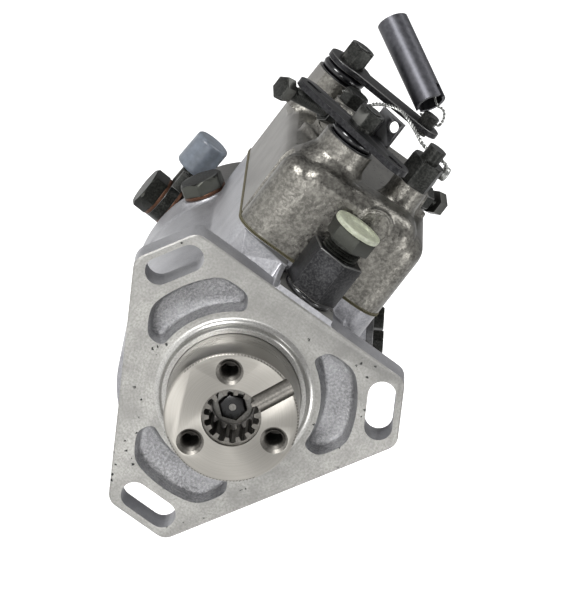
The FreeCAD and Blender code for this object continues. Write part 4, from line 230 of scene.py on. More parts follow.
def plainFinish(name, colour, metallic, roughness, size=0.7, depth=0.02, **more):
    material, tree, shader, place = newMaterial(name, {"Metallic": metallic, "Roughness": roughness, **more})
    fine = grain(tree, place, size, 2).outputs[0]
    darker = "#" + "".join(f"{int(int(colour[i:i + 2], 16) * 0.82):02x}" for i in (1, 3, 5))
    paint(tree, shader, blendColours(tree, spread(tree, fine, 0.3, 0.7, 0, 1), colour, darker))
    addBump(tree, shader, fine, depth, 0.6)
    return material


finishes = {
    "milled": milledAluminium(),
    "cast": castAluminium(),
    "rough": castAluminium("raw sand-cast aluminium", "#727274", "#949496", "#c4c4c5", 0.5),
    "spun": plainFinish("turned aluminium", "#b6b5b2", 0.95, 0.3, 0.5, 0.01),
    # pale edge metal: partly wear, partly a painted highlight
    "wearAndHighlightEdge": plainFinish("steel edge, bright from wear and painted as a highlight", "#6b6b6a", 0.9, 0.34),
    "ink": plainFinish("oiled black screw head", "#060607", 0.2, 0.22),
    "bored": plainFinish("bored steel", "#76736e", 1.0, 0.42),
    "mild": plainFinish("plain steel washer face", "#8c8a86", 0.8, 0.4),
    "blasted": blastedAluminium(),
    "smooth": dieFace(),
    "turned": turnedSteel(),
    "black": blackOxide(),
    "lever": blackOxide("blackened lever steel", "#171719", "#585859", 0.4),
    "adapter": blackOxide("rough blackened steel", "#19191b", "#646464", 0.38, grit=0.07),
    "blackOlive": blackOxide("phosphated black steel", "#131411", "#484944", 0.42),
    "gunmetal": brownedSteel(),
    "ground": plainFinish("ground steel", "#8f8d8a", 1.0, 0.3),
    "phosphated": plainFinish("phosphated steel", "#3e403e", 0.6, 0.5),
    "dieCast": plainFinish("die-cast aluminium", "#858587", 0.7, 0.45),
    "pressed": plainFinish("pressed steel", "#747475", 0.9, 0.4),
    "copper": plainFinish("dulled copper", "#5f4436", 0.9, 0.46),
    "bronze": plainFinish("bearing bronze", "#8a6c40", 1.0, 0.4),
    "rubber": plainFinish("moulded nitrile rubber", "#0a0a0d", 0.0, 0.2, 0.4, 0.01),
    "gasket": plainFinish("pressed fibre gasket", "#544f39", 0.0, 0.7, 0.4, 0.04),
    "nylon": plainFinish("natural nylon", "#dde2c9", 0.0, 0.3, 1.5, 0.01, **{"Transmission Weight": 0.55}),
    "polythene": plainFinish("milky polythene", "#8c95a1", 0.0, 0.35, 2.0, 0.01, **{"Transmission Weight": 0.6}),
    "wire": plainFinish("galvanised wire", "#a2a3a0", 1.0, 0.35, 0.3, 0.02),
}

slotFinish = {
    "housing_alloy": "cast", "cover_alloy": "blasted", "gasket": "gasket", "ground_steel": "ground",
    "phosphated_steel": "phosphated", "plate_alloy": "dieCast", "black_steel": "black", "pressed_steel": "pressed",
    "copper": "copper", "bronze": "bronze", "rubber": "rubber", "clear_nylon": "nylon",
    "milky_polythene": "polythene", "spring_wire": "wire",
}
nodeFinish = {"drive_hub": "turned", "throttle_lever": "lever", "stop_lever": "lever"}
for part in frame["record"]["subparts"]:
    node = frame["nodes"][part["node"]]
    finish = finishes[nodeFinish.get(part["node"], slotFinish[part["material_slot"]])]
    for index in range(max(1, len(node.data.materials))):
        if node.data.materials:
            node.data.materials[index] = finish
        else:
            node.data.materials.append(finish)
print("finishes done")


# the body of each node
bodyOf = {node: body for body, nodes in frame["record"]["behaviour"]["bodies"].items() for node in nodes}
bpy.ops.object.select_all(action="DESELECT")


def useOnly(*pieces):
    bpy.ops.object.select_all(action="DESELECT")
    for piece in pieces:
        piece.select_set(True)
    bpy.context.view_layer.objects.active = pieces[0]


# selects the edges whose two ends, in mm, pass the test, and stays in edit mode
def pickEdges(piece, test):
    useOnly(piece)
    bpy.ops.object.mode_set(mode="EDIT")
    bpy.ops.mesh.select_mode(type="EDGE")
    bpy.ops.mesh.select_all(action="DESELECT")
    bpy.ops.object.mode_set(mode="OBJECT")
    points = piece.data.vertices
    for edge in piece.data.edges:
        edge.select = bool(test(*(points[i].co / mm for i in edge.vertices)))
    bpy.ops.object.mode_set(mode="EDIT")


def bevelEdges(piece, test, size, steps=6):
    pickEdges(piece, test)
    bpy.ops.mesh.bevel(offset=size * mm, segments=steps, affect="EDGES", clamp_overlap=True)
    bpy.ops.object.mode_set(mode="OBJECT")


def moveEdges(piece, test, shift):
    pickEdges(piece, test)
    bpy.ops.transform.translate(value=[step * mm for step in shift])
    bpy.ops.object.mode_set(mode="OBJECT")


def settle(piece, turn, at):
    piece.rotation_euler = [math.radians(angle) for angle in turn]
    piece.location = Vector(at) * mm
    useOnly(piece)
    bpy.ops.object.transform_apply(location=True, rotation=True, scale=True)
    return piece


# a box by its middle and size; corner rounds the edges along its own Z, crest the rim of its top
def addBox(name, at, size, corner=0.0, crest=0.0, turn=(0, 0, 0), shape=None):
    bpy.ops.mesh.primitive_cube_add(size=1, scale=[side * mm for side in size])
    bpy.ops.object.transform_apply(location=True, rotation=True, scale=True)
    piece = bpy.context.active_object
    piece.name = name
    top = size[2] / 2
    if shape:
        shape(piece)
    if corner:
        bevelEdges(piece, lambda a, b: abs(a.z - b.z) > top, corner)
    if crest:
        bevelEdges(piece, lambda a, b: min(a.z, b.z) > top * 0.8, crest)
    return settle(piece, turn, at)


# a round bar, or a cone where an end radius is given, from one point to another
def addRod(name, start, end, radius, endRadius=None, sides=64, spin=0.0):
    way = Vector(end) - Vector(start)
    turn = way.to_track_quat("Z", "Y").to_euler()
    far = radius if endRadius is None else endRadius
    bpy.ops.mesh.primitive_cone_add(vertices=sides, radius1=radius * mm, radius2=far * mm, depth=way.length * mm,
                                    rotation=(0, 0, math.radians(spin)))
    bpy.ops.object.transform_apply(location=True, rotation=True, scale=True)
    piece = bpy.context.active_object
    piece.name = name
    return settle(piece, [math.degrees(angle) for angle in turn], (Vector(start) + Vector(end)) / 2)


def applyModifier(piece, kind, **settings):
    modifier = piece.modifiers.new("step", kind)
    for name, value in settings.items():
        setattr(modifier, name, value)
    useOnly(piece)
    bpy.ops.object.modifier_apply(modifier="step")
    return piece


def cutAway(piece, tools):
    for tool in tools:
        applyModifier(piece, "BOOLEAN", operation="DIFFERENCE", solver="MANIFOLD", object=tool)
        bpy.data.objects.remove(tool)
    return piece


def addTube(name, start, end, inner, outer, sides=96):
    tube = addRod(name, start, end, outer, sides=sides)
    way = (Vector(end) - Vector(start)).normalized()
    return cutAway(tube, [addRod("bore", Vector(start) - way, Vector(end) + way, inner, sides=sides)])


# shapes run together as in a mould: joined, remeshed and smoothed until the corners are fillets
def castFrom(name, pieces, voxel, rounds):
    useOnly(*pieces)
    bpy.ops.object.join()
    piece = bpy.context.active_object
    piece.name = name
    piece.data.name = name
    piece.data.remesh_voxel_size = voxel * mm
    bpy.ops.object.voxel_remesh()
    return applyModifier(piece, "SMOOTH", factor=0.5, iterations=rounds)


# a real helical thread, as a ridge wound round a core; below zero the depth points outwards, with no core
def addThread(name, start, end, radius, pitch, depth=None):
    depth = depth or pitch * 0.55
    way = Vector(end) - Vector(start)
    turns = max(1, round(way.length / pitch))
    ridge = bpy.data.meshes.new(name)
    root = (radius - depth) * mm
    ridge.from_pydata([(root, 0, -pitch * mm), (radius * mm, 0, -pitch * mm / 2), (root, 0, 0)], [(0, 1), (1, 2)], [])
    piece = bpy.data.objects.new(name, ridge)
    bpy.context.scene.collection.objects.link(piece)
    applyModifier(piece, "SCREW", axis="Z", screw_offset=way.length / turns * mm, iterations=turns, steps=28,
                  render_steps=28, use_merge_vertices=True, merge_threshold=0.00001, use_normal_calculate=True)
    settle(piece, [math.degrees(angle) for angle in way.to_track_quat("Z", "Y").to_euler()], start)
    if depth < 0:
        return piece
    core = addRod("core", start, end, radius - depth + 0.02, sides=32)
    return joinAll(name, [piece, core])


# a solid skinned over outlines that lie one behind the other along Y, each a list of (x, z)
def addLoft(name, levels):
    count = len(levels[0][1])
    points = [(x * mm, y * mm, z * mm) for y, outline in levels for x, z in outline]
    faces = [tuple(range(count)), tuple(range(len(points) - 1, len(points) - count - 1, -1))]
    for row in range(len(levels) - 1):
        for i in range(count):
            a, b = row * count + i, row * count + (i + 1) % count
            faces.append((b, a, a + count, b + count))
    mesh = bpy.data.meshes.new(name)
    mesh.from_pydata(points, [], faces)
    piece = bpy.data.objects.new(name, mesh)
    bpy.context.scene.collection.objects.link(piece)
    useOnly(piece)
    bpy.ops.object.mode_set(mode="EDIT")
    bpy.ops.mesh.select_all(action="SELECT")
    bpy.ops.mesh.normals_make_consistent(inside=False)
    bpy.ops.object.mode_set(mode="OBJECT")
    return piece


# a closed outline smoothed so many times, each point towards its two neighbours
def soften(outline, rounds):
    for _ in range(rounds):
        outline = [(Vector(outline[i - 1]) + 2 * Vector(outline[i]) + Vector(outline[(i + 1) % len(outline)])) / 4
                   for i in range(len(outline))]
    return [tuple(point) for point in outline]


# a closed outline, evenly stepped and with its corners rounded
def roundOutline(corners, count, rounds):
    outline = []
    for i, start in enumerate(corners):
        way = Vector(corners[(i + 1) % len(corners)]) - Vector(start)
        outline += [Vector(start) + way * k / count for k in range(count)]
    return soften(outline, rounds)


def addHull(name, points):
    mesh = bpy.data.meshes.new(name)
    mesh.from_pydata([[value * mm for value in point] for point in points], [], [])
    piece = bpy.data.objects.new(name, mesh)
    bpy.context.scene.collection.objects.link(piece)
    useOnly(piece)
    bpy.ops.object.mode_set(mode="EDIT")
    bpy.ops.mesh.select_all(action="SELECT")
    bpy.ops.mesh.convex_hull()
    bpy.ops.object.mode_set(mode="OBJECT")
    return piece


def joinAll(name, pieces):
    useOnly(*pieces)
    if len(pieces) > 1:
        bpy.ops.object.join()
    piece = bpy.context.active_object
    piece.name = name
    piece.data.name = name
    return piece


# a piece stands for a CAD node: its finish, its shading and its body
def stand(piece, node, finish=None, angle=32):
    if finish:
        piece.data.materials.clear()
        piece.data.materials.append(finishes[finish])
    useOnly(piece)
    bpy.ops.object.shade_smooth_by_angle(angle=math.radians(angle))
    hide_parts(node)
    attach(piece, bodyOf[node])
    return piece


# a merged copy of a node's mesh
def copyNode(name, node):
    piece = bpy.data.objects.new(name, frame["nodes"][node].data.copy())
    bpy.context.scene.collection.objects.link(piece)
    useOnly(piece)
    bpy.ops.object.mode_set(mode="EDIT")
    bpy.ops.mesh.select_all(action="SELECT")
    bpy.ops.mesh.remove_doubles(threshold=0.000002)
    bpy.ops.mesh.dissolve_limited(angle_limit=math.radians(0.6))
    bpy.ops.object.mode_set(mode="OBJECT")
    return piece


# the node's own shape with its edges broken as the real part's are
def dress(name, node, finish, edge=0.3, steps=2, angle=32):
    piece = copyNode(name, node)
    bevel = piece.modifiers.new("edge", "BEVEL")
    bevel.width = edge * mm
    bevel.segments = steps
    bevel.limit_method = "ANGLE"
    bevel.angle_limit = math.radians(angle)
    stand(piece, node, finish, angle)
    # the bevels of black parts take the pale edge finish: partly wear, partly a painted highlight
    if finish in ("black", "lever", "blackOlive", "gunmetal"):
        piece.data.materials.append(finishes["wearAndHighlightEdge"])
        bevel.material = 1
    return piece


# the mesh faces that pass the test, by their middle in mm and their normal, take a second finish
def refinish(piece, finish, test):
    piece.data.materials.append(finishes[finish])
    index = len(piece.data.materials) - 1
    for polygon in piece.data.polygons:
        if test(polygon.center / mm, polygon.normal):
            polygon.material_index = index


# breaks all edges that are sharper than an angle
def breakEdges(piece, width, steps, angle=30):
    return applyModifier(piece, "BEVEL", width=width * mm, segments=steps, limit_method="ANGLE",
                         angle_limit=math.radians(angle))


# a lying ring of round section
def addRing(at, reach, thick):
    bpy.ops.mesh.primitive_torus_add(location=Vector(at) * mm, major_radius=reach * mm, minor_radius=thick * mm,
                                     major_segments=96, minor_segments=24)
    bpy.ops.object.transform_apply(location=True, rotation=True, scale=True)
    return bpy.context.active_object


# a place round the drive axis, by its angle from +X towards +Z
def polar(radius, angle, along=0.0):
    return Vector((radius * math.cos(math.radians(angle)), along, radius * math.sin(math.radians(angle))))


# the same as (x, z), for an outline
def ringPoint(radius, angle):
    return radius * math.cos(math.radians(angle)), radius * math.sin(math.radians(angle))


def axisDistance(at):
    return math.hypot(at.x, at.z)


# turns a box's top away from the drive axis
def outwardTurn(angle):
    return 0, 90 - angle, 0


# a level direction, by its angle from +X towards +Y
def heading(angle):
    return Vector((math.cos(math.radians(angle)), math.sin(math.radians(angle)), 0))


# housing: cast flange, barrel and deck, with its machined faces and bores cut afterwards
housing = {
    "edge": 37.8, "corner": 55.65, "thick": 12.5, "skin": 1.0, "barrel": 39.5, "rear": 118.0,
    "deck": {"left": -31.0, "right": 26.0, "front": 18.6, "rear": 116.0, "top": 43.5, "round": 9.0},
    "recess": {"inner": 29.0, "outer": 40.7, "span": 63.0, "depth": 6.4, "land": 30.7},
    "slot": {"pitch": 48.66, "long": 20.5, "wide": 9.4},
    "lock": {"angles": (147.0, 33.0), "along": 109.0, "boss": 8.6, "face": 9.4, "hole": 4.55},
    "seat": {"angle": 33.0, "along": 80.0, "screws": (66.5, 93.5)},
    "adapter": {"along": 8.3, "face": 39.7, "hole": 6.75},
    # place along the axis and radius, down the pilot's fillet and chamfer
    "pilot": ((1.0, 27.2), (0.0, 26.6), (-0.25, 25.6), (-0.7, 24.95), (-1.5, 24.5), (-3.15, 24.2), (-3.5, 23.85)),
    # start, end, radius and sides
    "bores": {"hub": (-5, 1.1, 22.38, 128), "seal": (0.5, 9, 19, 96), "bush": (8, 23, 15.55, 96),
              "chamber": (22, 94, 33, 96), "head": (93, 120, 33.05, 96)},
    "voxel": 0.85, "rounds": 7,
}
cornerAngles = (30.0, 150.0, 270.0)
deck = housing["deck"]
deckMiddle = ((deck["left"] + deck["right"]) / 2, (deck["front"] + deck["rear"]) / 2)
deckSize = (deck["right"] - deck["left"], deck["rear"] - deck["front"])


def buildFlange():
    depth = housing["thick"] + housing["skin"]
    bpy.ops.mesh.primitive_cylinder_add(vertices=3, radius=2 * housing["edge"] * mm, depth=depth * mm)
    plate = bpy.context.active_object
    cut = (2 * housing["edge"] - housing["corner"]) / math.cos(math.radians(30))
    for size, steps in ((cut, 1), (2.4, 3)):
        bevelEdges(plate, lambda a, b: abs(a.z - b.z) > 1, size, steps)
    return settle(plate, (-90, 0, 0), (0, depth / 2 - housing["skin"], 0))


# ring sector whose ends run parallel to the flange's edges, its walls leaning in towards the floor
def buildRecess(angle):
    recess = housing["recess"]
    base = recess["depth"]
    levels = []
    for y, inset in ((-2.0, -0.5), (0.1, -0.25), (0.8, 0.15), (base - 1.4, 0.9), (base - 0.5, 1.4), (base, 2.4)):
        half = recess["span"] / 2 - math.degrees(inset / recess["outer"])
        outer, inner = [], []
        for k in range(41):
            turn = half * (k / 20 - 1)
            land = (recess["land"] - inset) / math.cos(math.radians(60 - abs(turn)))
            outer.append(ringPoint(min(land, recess["outer"] - inset), angle + turn))
            inner.append(ringPoint(recess["inner"] + inset, angle + turn))
        oneEnd = [tuple(Vector(outer[-1]).lerp(Vector(inner[-1]), k / 8)) for k in range(1, 8)]
        otherEnd = [tuple(Vector(inner[0]).lerp(Vector(outer[0]), k / 8)) for k in range(1, 8)]
        levels.append((y, soften([*outer, *oneEnd, *inner[::-1], *otherEnd], 9)))
    return addLoft("recess", levels)


def flangeOutline(inset):
    reach, far = housing["edge"] - inset, housing["corner"] - inset
    corners = []
    for a in cornerAngles:
        tip = polar(far, a)
        side = polar((reach - far / 2) / math.sin(math.radians(60)), a + 90)
        corners += [(tip.x - side.x, tip.z - side.z), (tip.x + side.x, tip.z + side.z)]
    return roundOutline(corners, 40, 6)


# everything in front of the flange goes, but for the pilot; the flange's rim keeps a chamfer
def buildFacing():
    facing = addRod("facing", (0, -9, 0), (0, 0.5, 0), 75)
    plate = addLoft("plate", [(y, flangeOutline(inset)) for y, inset in ((1.0, -0.55), (0.45, 0), (0, 0.5))])
    circles = [(y, [ringPoint(radius, 360 * i / 128) for i in range(128)]) for y, radius in housing["pilot"]]
    return cutAway(facing, [plate, addLoft("pilot", circles)])


# between the deck and the flange, left of the adapter, with the rib that ends at the flange's face
gusset = {
    "wedge": [(-25.0, 12.3, 37.0), (-12.6, 12.6, 43.1), (-10.3, 12.6, 43.1), (-11.6, 9.4, 37.6), (-10.3, 9.4, 37.6),
              (-25, 12.3, 33), (-10.3, 9.4, 33), (-10.3, 26, 43.1), (-30.4, 27, 43.1), (-30.4, 27, 33),
              (-10.3, 26, 33), (-28.0, 20.5, 43.1)],
    "rib": [(-12.4, 13.4, 43.1), (-10.3, 13.4, 43.1), (-12.0, 0.6, 37.9), (-10.3, 0.6, 37.9), (-12.4, 13.4, 33),
            (-10.3, 13.4, 33), (-12.0, 0.6, 33), (-10.3, 0.6, 33)],
    "voxel": 0.32, "rounds": 5,
}


def castHousing():
    lock, seat = housing["lock"], housing["seat"]
    flange = buildFlange()
    bosses = [addRod("lock", polar(20, a, lock["along"]), polar(41.4, a, lock["along"]), lock["boss"])
              for a in lock["angles"]]
    pad = addBox("seat", polar(36, seat["angle"], seat["along"]), (24, 36, 14.5), corner=6,
                 turn=outwardTurn(seat["angle"]))
    rear = housing["rear"] + 1.5
    shapes = [
        flange, pad, *bosses,
        addRod("pilot", (0, -5, 0), (0, 8, 0), 27, sides=96),
        addRod("barrel", (0, 6, 0), (0, rear, 0), housing["barrel"], sides=128),
        addBox("deck", (*deckMiddle, 28.5), (*deckSize, 33), corner=deck["round"]),
        addBox("boss", (0.4, 12.8, 20.5), (21.4, 27.6, 41), corner=0.6),
        addBox("neck", (-2.5, 16.9, 24.5), (39, 21.3, 25)),
        addRod("rearBand", (0, 100, 0), (0, rear, 0), housing["barrel"] + 0.6, sides=128),
    ]
    body = castFrom("pumpHousing", shapes, housing["voxel"], housing["rounds"])
    hulls = [addHull(name, gusset[name]) for name in ("wedge", "rib")]
    rib = castFrom("gusset", hulls, gusset["voxel"], gusset["rounds"])
    applyModifier(body, "BOOLEAN", operation="UNION", solver="MANIFOLD", object=rib)
    bpy.data.objects.remove(rib)
    return body


def housingCutters():
    lock, seat, slot, adapterHole = (housing[name] for name in ("lock", "seat", "slot", "adapter"))
    out = outwardTurn(seat["angle"])
    along = adapterHole["along"]
    tools = [
        buildFacing(),
        addRod("tail", (0, housing["rear"], 0), (0, 124, 0), 60),
        addBox("top", (0, 68, deck["top"] + 10), (90, 120, 20)),
        addBox("spot", (0.6, 6, adapterHole["face"] + 10), (22.6, 29, 20), corner=9),
        addRod("hole", (0, along, 27.7), (0, along, 50), adapterHole["hole"]),
    ]
    for a in cornerAngles:
        tools.append(buildRecess(a))
        tools.append(addBox("slot", polar(slot["pitch"], a, 6), (slot["long"], slot["wide"], 20),
                            corner=slot["wide"] / 2 - 0.02, turn=(90, -(a + 90), 0)))
    for name, (start, end, radius, sides) in housing["bores"].items():
        tools.append(addRod(name, (0, start, 0), (0, end, 0), radius, sides=sides))
    tools += [addBox("window", (-2.5, 64.5, 26), (47, 78, 42), corner=4.5),
              addRod("camScrew", (0, 83, 0), (0, 83, -50), 6.05)]
    for a in lock["angles"]:
        for name, start, radius in (("lockHole", 20, lock["hole"]), ("lockFace", 40.5, lock["face"])):
            tools.append(addRod(name, polar(start, a, lock["along"]), polar(60, a, lock["along"]), radius))
    tools.append(addBox("seatFace", polar(52.5, seat["angle"], seat["along"]), (40, 50, 20), turn=out))
    tools.append(addRod("windowHole", polar(20, seat["angle"], seat["along"]),
                        polar(60, seat["angle"], seat["along"]), 9))
    for screwAt in seat["screws"]:
        tools.append(addRod("screwHole", polar(35.5, seat["angle"], screwAt), polar(60, seat["angle"], screwAt), 2.45))
    return tools


# how far inside the flange's sides a point lies
def flangeDepth(at):
    reach = [at.x * math.cos(math.radians(a)) + at.z * math.sin(math.radians(a)) for a in (90, 210, 330)]
    return housing["edge"] - max(reach)


# the flange's face and rim, the bores as far as the bush, the deck's top, the adapter's seat and the rear face
def machined(at, normal):
    radius = axisDistance(at)
    if radius > 26 and at.y < 0.5 and normal.y < -0.3:
        return True
    if at.y < 0.05 and radius < 24.4:
        return True
    if radius < 33.3 and 0.05 < at.y < 22 and at.z < 36 and normal.y < 0.99:
        return radius < 23.5
    flatTop = normal.z > 0.98 and any(abs(at.z - top) < 0.05 for top in (deck["top"], housing["adapter"]["face"]))
    return flatTop or at.y > housing["rear"] - 0.1


def inRecess(at, normal):
    return 0.06 < at.y < 6.6 and 28.4 < axisDistance(at) < 41.2 and flangeDepth(at) > 6


body = cutAway(castHousing(), housingCutters())
stand(body, "pump_housing", "cast", 40)
refinish(body, "milled", machined)
refinish(body, "spun", lambda at, normal: at.y < -0.02 and axisDistance(at) < 27)
refinish(body, "rough", inRecess)
print("housing done", len(body.data.polygons))


# governor cover: one casting with its bulge, bosses and lugs
cover = {
    "base": 44.3, "top": 74.0, "wall": 4.0, "voxel": 0.62, "rounds": 9,
    # the top left edge is drawn in and down, the top right one in
    "bulge": {"at": (-2.6, 27.6, 60), "size": (52, 19.4, 35.6), "round": 6.5,
              "left": (4.4, 0, -2.0), "right": (-3.6, 0, 0), "foot": (0, 0.5, 0)},
    "pad": {"at": (5.7, 69.5), "radius": 6.4, "rim": (4.9, 5.7)},
    "bosses": {
        "throttle": {"at": (-15.8, 34.0), "radius": 9.25, "top": 84.8, "flare": 5.0, "bore": 4.1},
        "stop": {"at": (-23.6, 90.0), "radius": 8.8, "top": 88.0, "flare": 3.5, "bore": 4.1},
        "vent": {"at": (-17.8, 73.0), "radius": 5.2, "top": 86.0, "flare": 2.5, "bore": 2.55},
        "frontNut": {"at": (10.6, 42.8), "radius": 6.4, "top": 83.6, "flare": 3.0, "bore": 3.05},
        "rearNut": {"at": (17.5, 77.0), "radius": 6.4, "top": 76.5, "flare": 2.0, "bore": 3.05},
    },
    "lugs": {
        "long": {"at": (-20.65, 55.9), "turn": 30.8, "screw": 84.3, "size": (7.0, 8.4)},
        "short": {"at": (14.1, 52.6), "turn": 36.3, "screw": 78.8, "size": (7.0, 8.4)},
    },
    "screwBore": 2.55,
}


def shapeBulge(piece):
    bulge = cover["bulge"]
    moveEdges(piece, lambda a, b: min(a.z, b.z) > 0 and max(a.x, b.x) < 0, bulge["left"])
    moveEdges(piece, lambda a, b: min(a.z, b.z) > 0 and min(a.x, b.x) > 0, bulge["right"])
    moveEdges(piece, lambda a, b: max(a.z, b.z) < 0 and max(a.y, b.y) < 0, bulge["foot"])


def castCover():
    base, top, bulge, pad = (cover[name] for name in ("base", "top", "bulge", "pad"))
    padX, padZ = pad["at"]
    shapes = [
        addBox("walls", (*deckMiddle, (base - 2 + top) / 2), (*deckSize, top - base + 2), corner=9, crest=7),
        addBox("bulge", bulge["at"], bulge["size"], shape=shapeBulge, corner=bulge["round"], crest=bulge["round"]),
        addRod("pad", (padX, 17.6, padZ), (padX, 24, padZ), pad["radius"]),
    ]
    for boss in cover["bosses"].values():
        x, y = boss["at"]
        radius, flare = boss["radius"], boss["flare"]
        shapes.append(addRod("boss", (x, y, top - 6), (x, y, boss["top"] + 1.2), radius + 0.5, radius + 0.05))
        shapes.append(addRod("flare", (x, y, top - 3), (x, y, top + flare), radius + flare, radius))
    for lug in cover["lugs"].values():
        x, y = lug["at"]
        long, wide = lug["size"]
        turn = (0, 0, lug["turn"])
        middle, half = Vector((x, y, lug["screw"])), heading(lug["turn"]) * (long / 2) * 1.08
        rise = lug["screw"] - top + 4
        shapes.append(addBox("lug", (x, y, top - 4 + rise / 2), (long + 0.6, wide + 0.4, rise), turn=turn))
        shapes.append(addBox("foot", (x, y, top - 1), (long + 5, wide + 4, 6), turn=turn))
        shapes.append(addRod("lugTop", middle - half, middle + half, wide / 2 + 0.2))
    return castFrom("governorCover", shapes, cover["voxel"], cover["rounds"])


def coverCutters():
    wall = 2 * cover["wall"]
    tools = [
        addBox("below", (*deckMiddle, cover["base"] - 10), (90, 130, 20)),
        addBox("hollow", (*deckMiddle, 56.5), (deckSize[0] - wall, deckSize[1] - wall, 27), corner=5, crest=3),
        addBox("front", (0, 8.1, 60), (90, 20, 60)),
    ]
    for boss in cover["bosses"].values():
        x, y = boss["at"]
        tools.append(addRod("face", (x, y, boss["top"]), (x, y, boss["top"] + 6), boss["radius"] + 1.5))
        tools.append(addRod("bore", (x, y, 40), (x, y, 95), boss["bore"]))
    for lug in cover["lugs"].values():
        centre = Vector((*lug["at"], lug["screw"]))
        along = heading(lug["turn"])
        tools.append(addRod("screwBore", centre - along * 14, centre + along * 14, cover["screwBore"]))
        for side in (-1, 1):
            face = centre + along * side * lug["size"][0] / 2
            tools.append(addRod("lugFace", face, centre + along * side * 9, 6.0))
    tools.append(addRod("crease", (-32.6, 29.4, 42), (-31.2, 31.5, 72), 2.6, 3.4, sides=32))
    return tools


def onBossTop(at, normal):
    return normal.z > 0.98 and any(abs(at.z - boss["top"]) < 0.02 for boss in cover["bosses"].values())


casting = cutAway(castCover(), coverCutters())
padX, padZ = cover["pad"]["at"]
rim = addTube("rim", (padX, 17.7, padZ), (padX, 19.6, padZ), *cover["pad"]["rim"])
breakEdges(rim, 0.3, 3)
casting = joinAll("governorCover", [casting, rim])
stand(casting, "governor_cover", "blasted", 40)
refinish(casting, "milled", onBossTop)
refinish(casting, "smooth", lambda at, normal: normal.x < -0.7 and at.x < -28 and at.y > 30)
print("cover done", len(casting.data.polygons))


# hub with its tapped holes, lathe scores and spline gaps
hubSize = {
    "front": -24.7, "rim": 21.9, "edge": 0.2,
    "holes": {"pitch": 15.875, "first": 8, "radius": 2.95, "thread": 1.25, "deep": 15},
    "scores": {"at": (-7.0, -9.4, -12.3), "radius": 22.15, "half": 0.07},
    "gaps": {"count": 14, "radius": 7.9, "at": -17.6, "size": (2.2, 16, 2.1)},
}
holes, scores, gaps = hubSize["holes"], hubSize["scores"], hubSize["gaps"]
hubTools, hubThreads = [], []
for i in range(3):
    hole = polar(holes["pitch"], holes["first"] + 120 * i, hubSize["front"])
    sink = addRod("sink", hole + Vector((0, -0.4, 0)), hole + Vector((0, 1.0, 0)), 5.0, 3.5)
    hubTools.append(sink)
    hubThreads.append(addThread("tapped", hole + Vector((0, 1.4, 0)), hole + Vector((0, holes["deep"], 0)),
                                holes["radius"], holes["thread"], -0.55))
for at in scores["at"]:
    hubTools.append(addTube("score", (0, at - scores["half"], 0), (0, at + scores["half"], 0), scores["radius"], 24))
for i in range(gaps["count"]):
    angle = 360 / gaps["count"] * i
    hubTools.append(addBox("gap", polar(gaps["radius"], angle, gaps["at"]), gaps["size"], turn=(0, -angle, 0)))
hub = cutAway(copyNode("driveHub", "drive_hub"), hubTools)
breakEdges(hub, hubSize["edge"], 2, 40)
hub = joinAll("driveHub", [hub, *hubThreads])
stand(hub, "drive_hub", "turned", 20)


def hubRim(at, normal):
    return axisDistance(at) > hubSize["rim"] and at.y < hubSize["front"] + 0.3 and normal.y > -0.99


def hubInside(at, normal):
    return axisDistance(at) < hubSize["rim"] and (normal.y > -0.97 or at.y > hubSize["front"] + 0.3)


refinish(hub, "bored", hubRim)
refinish(hub, "bored", hubInside)

# hub screw: a black hexagon with a punched dot on a plain flange, each part's two ends and radius
screwSize = {"hex": (-13.8, -10.2, 4.95), "flange": (-11.3, -10.02, 6.9), "dot": (-13.62, -13.4, 1.3),
             "shank": (-10.4, 6, 3.4), "spin": 10}


def addScrewPart(name, sides=64, spin=0.0):
    start, end, radius = screwSize[name]
    return addRod(name, (0, start, 0), (0, end, 0), radius, sides=sides, spin=spin)


screwHex = addScrewPart("hex", 6, screwSize["spin"])
bevelEdges(screwHex, lambda a, b: max(a.y, b.y) < screwSize["hex"][0] + 0.1, 0.8, 3)
cutAway(screwHex, [addRod("dimple", (0, -14.4, 0), (0, -13.5, 0), 1.5, 1.1)])
screwFlange = addScrewPart("flange", 96)
bevelEdges(screwFlange, lambda a, b: max(a.y, b.y) < screwSize["flange"][0] + 0.1, 0.6, 4)
screw = joinAll("hubScrew", [screwHex, screwFlange, addScrewPart("dot", 32), addScrewPart("shank")])
stand(screw, "hub_screw", "mild")
refinish(screw, "ink", lambda at, normal: at.y < -11.35)
refinish(screw, "mild", lambda at, normal: -13.7 < at.y < -13.35 and axisDistance(at) < 1.45)

# stop screws with their threads and domed heads
stopSize = {"thread": 2.5, "pitch": 0.8, "tail": 5.4, "nut": 7.1, "head": 4.35, "high": 4.2, "dome": 1.1}
stops = {
    "long": {"at": (-20.65, 55.9, 84.3), "turn": 210.8, "out": 17.0},
    "short": {"at": (14.1, 52.6, 78.8), "turn": 36.3, "out": 3.4},
}
stopPieces = []
for stop in stops.values():
    way, at = heading(stop["turn"]), Vector(stop["at"])
    seat = stopSize["nut"] + stop["out"]
    far = at + way * (seat + stopSize["high"])
    stopPieces.append(addThread("thread", at - way * stopSize["tail"], at + way * (seat + 0.1),
                                stopSize["thread"], stopSize["pitch"]))
    head = addRod("head", at + way * seat, far, stopSize["head"], sides=6, spin=0)
    bevelEdges(head, lambda a, b, far=far, way=way: min((a - far).dot(way), (b - far).dot(way)) > -0.1,
               stopSize["dome"], 4)
    stopPieces.append(head)
stand(joinAll("speedStopScrews", stopPieces), "speed_stop_screws", "black")

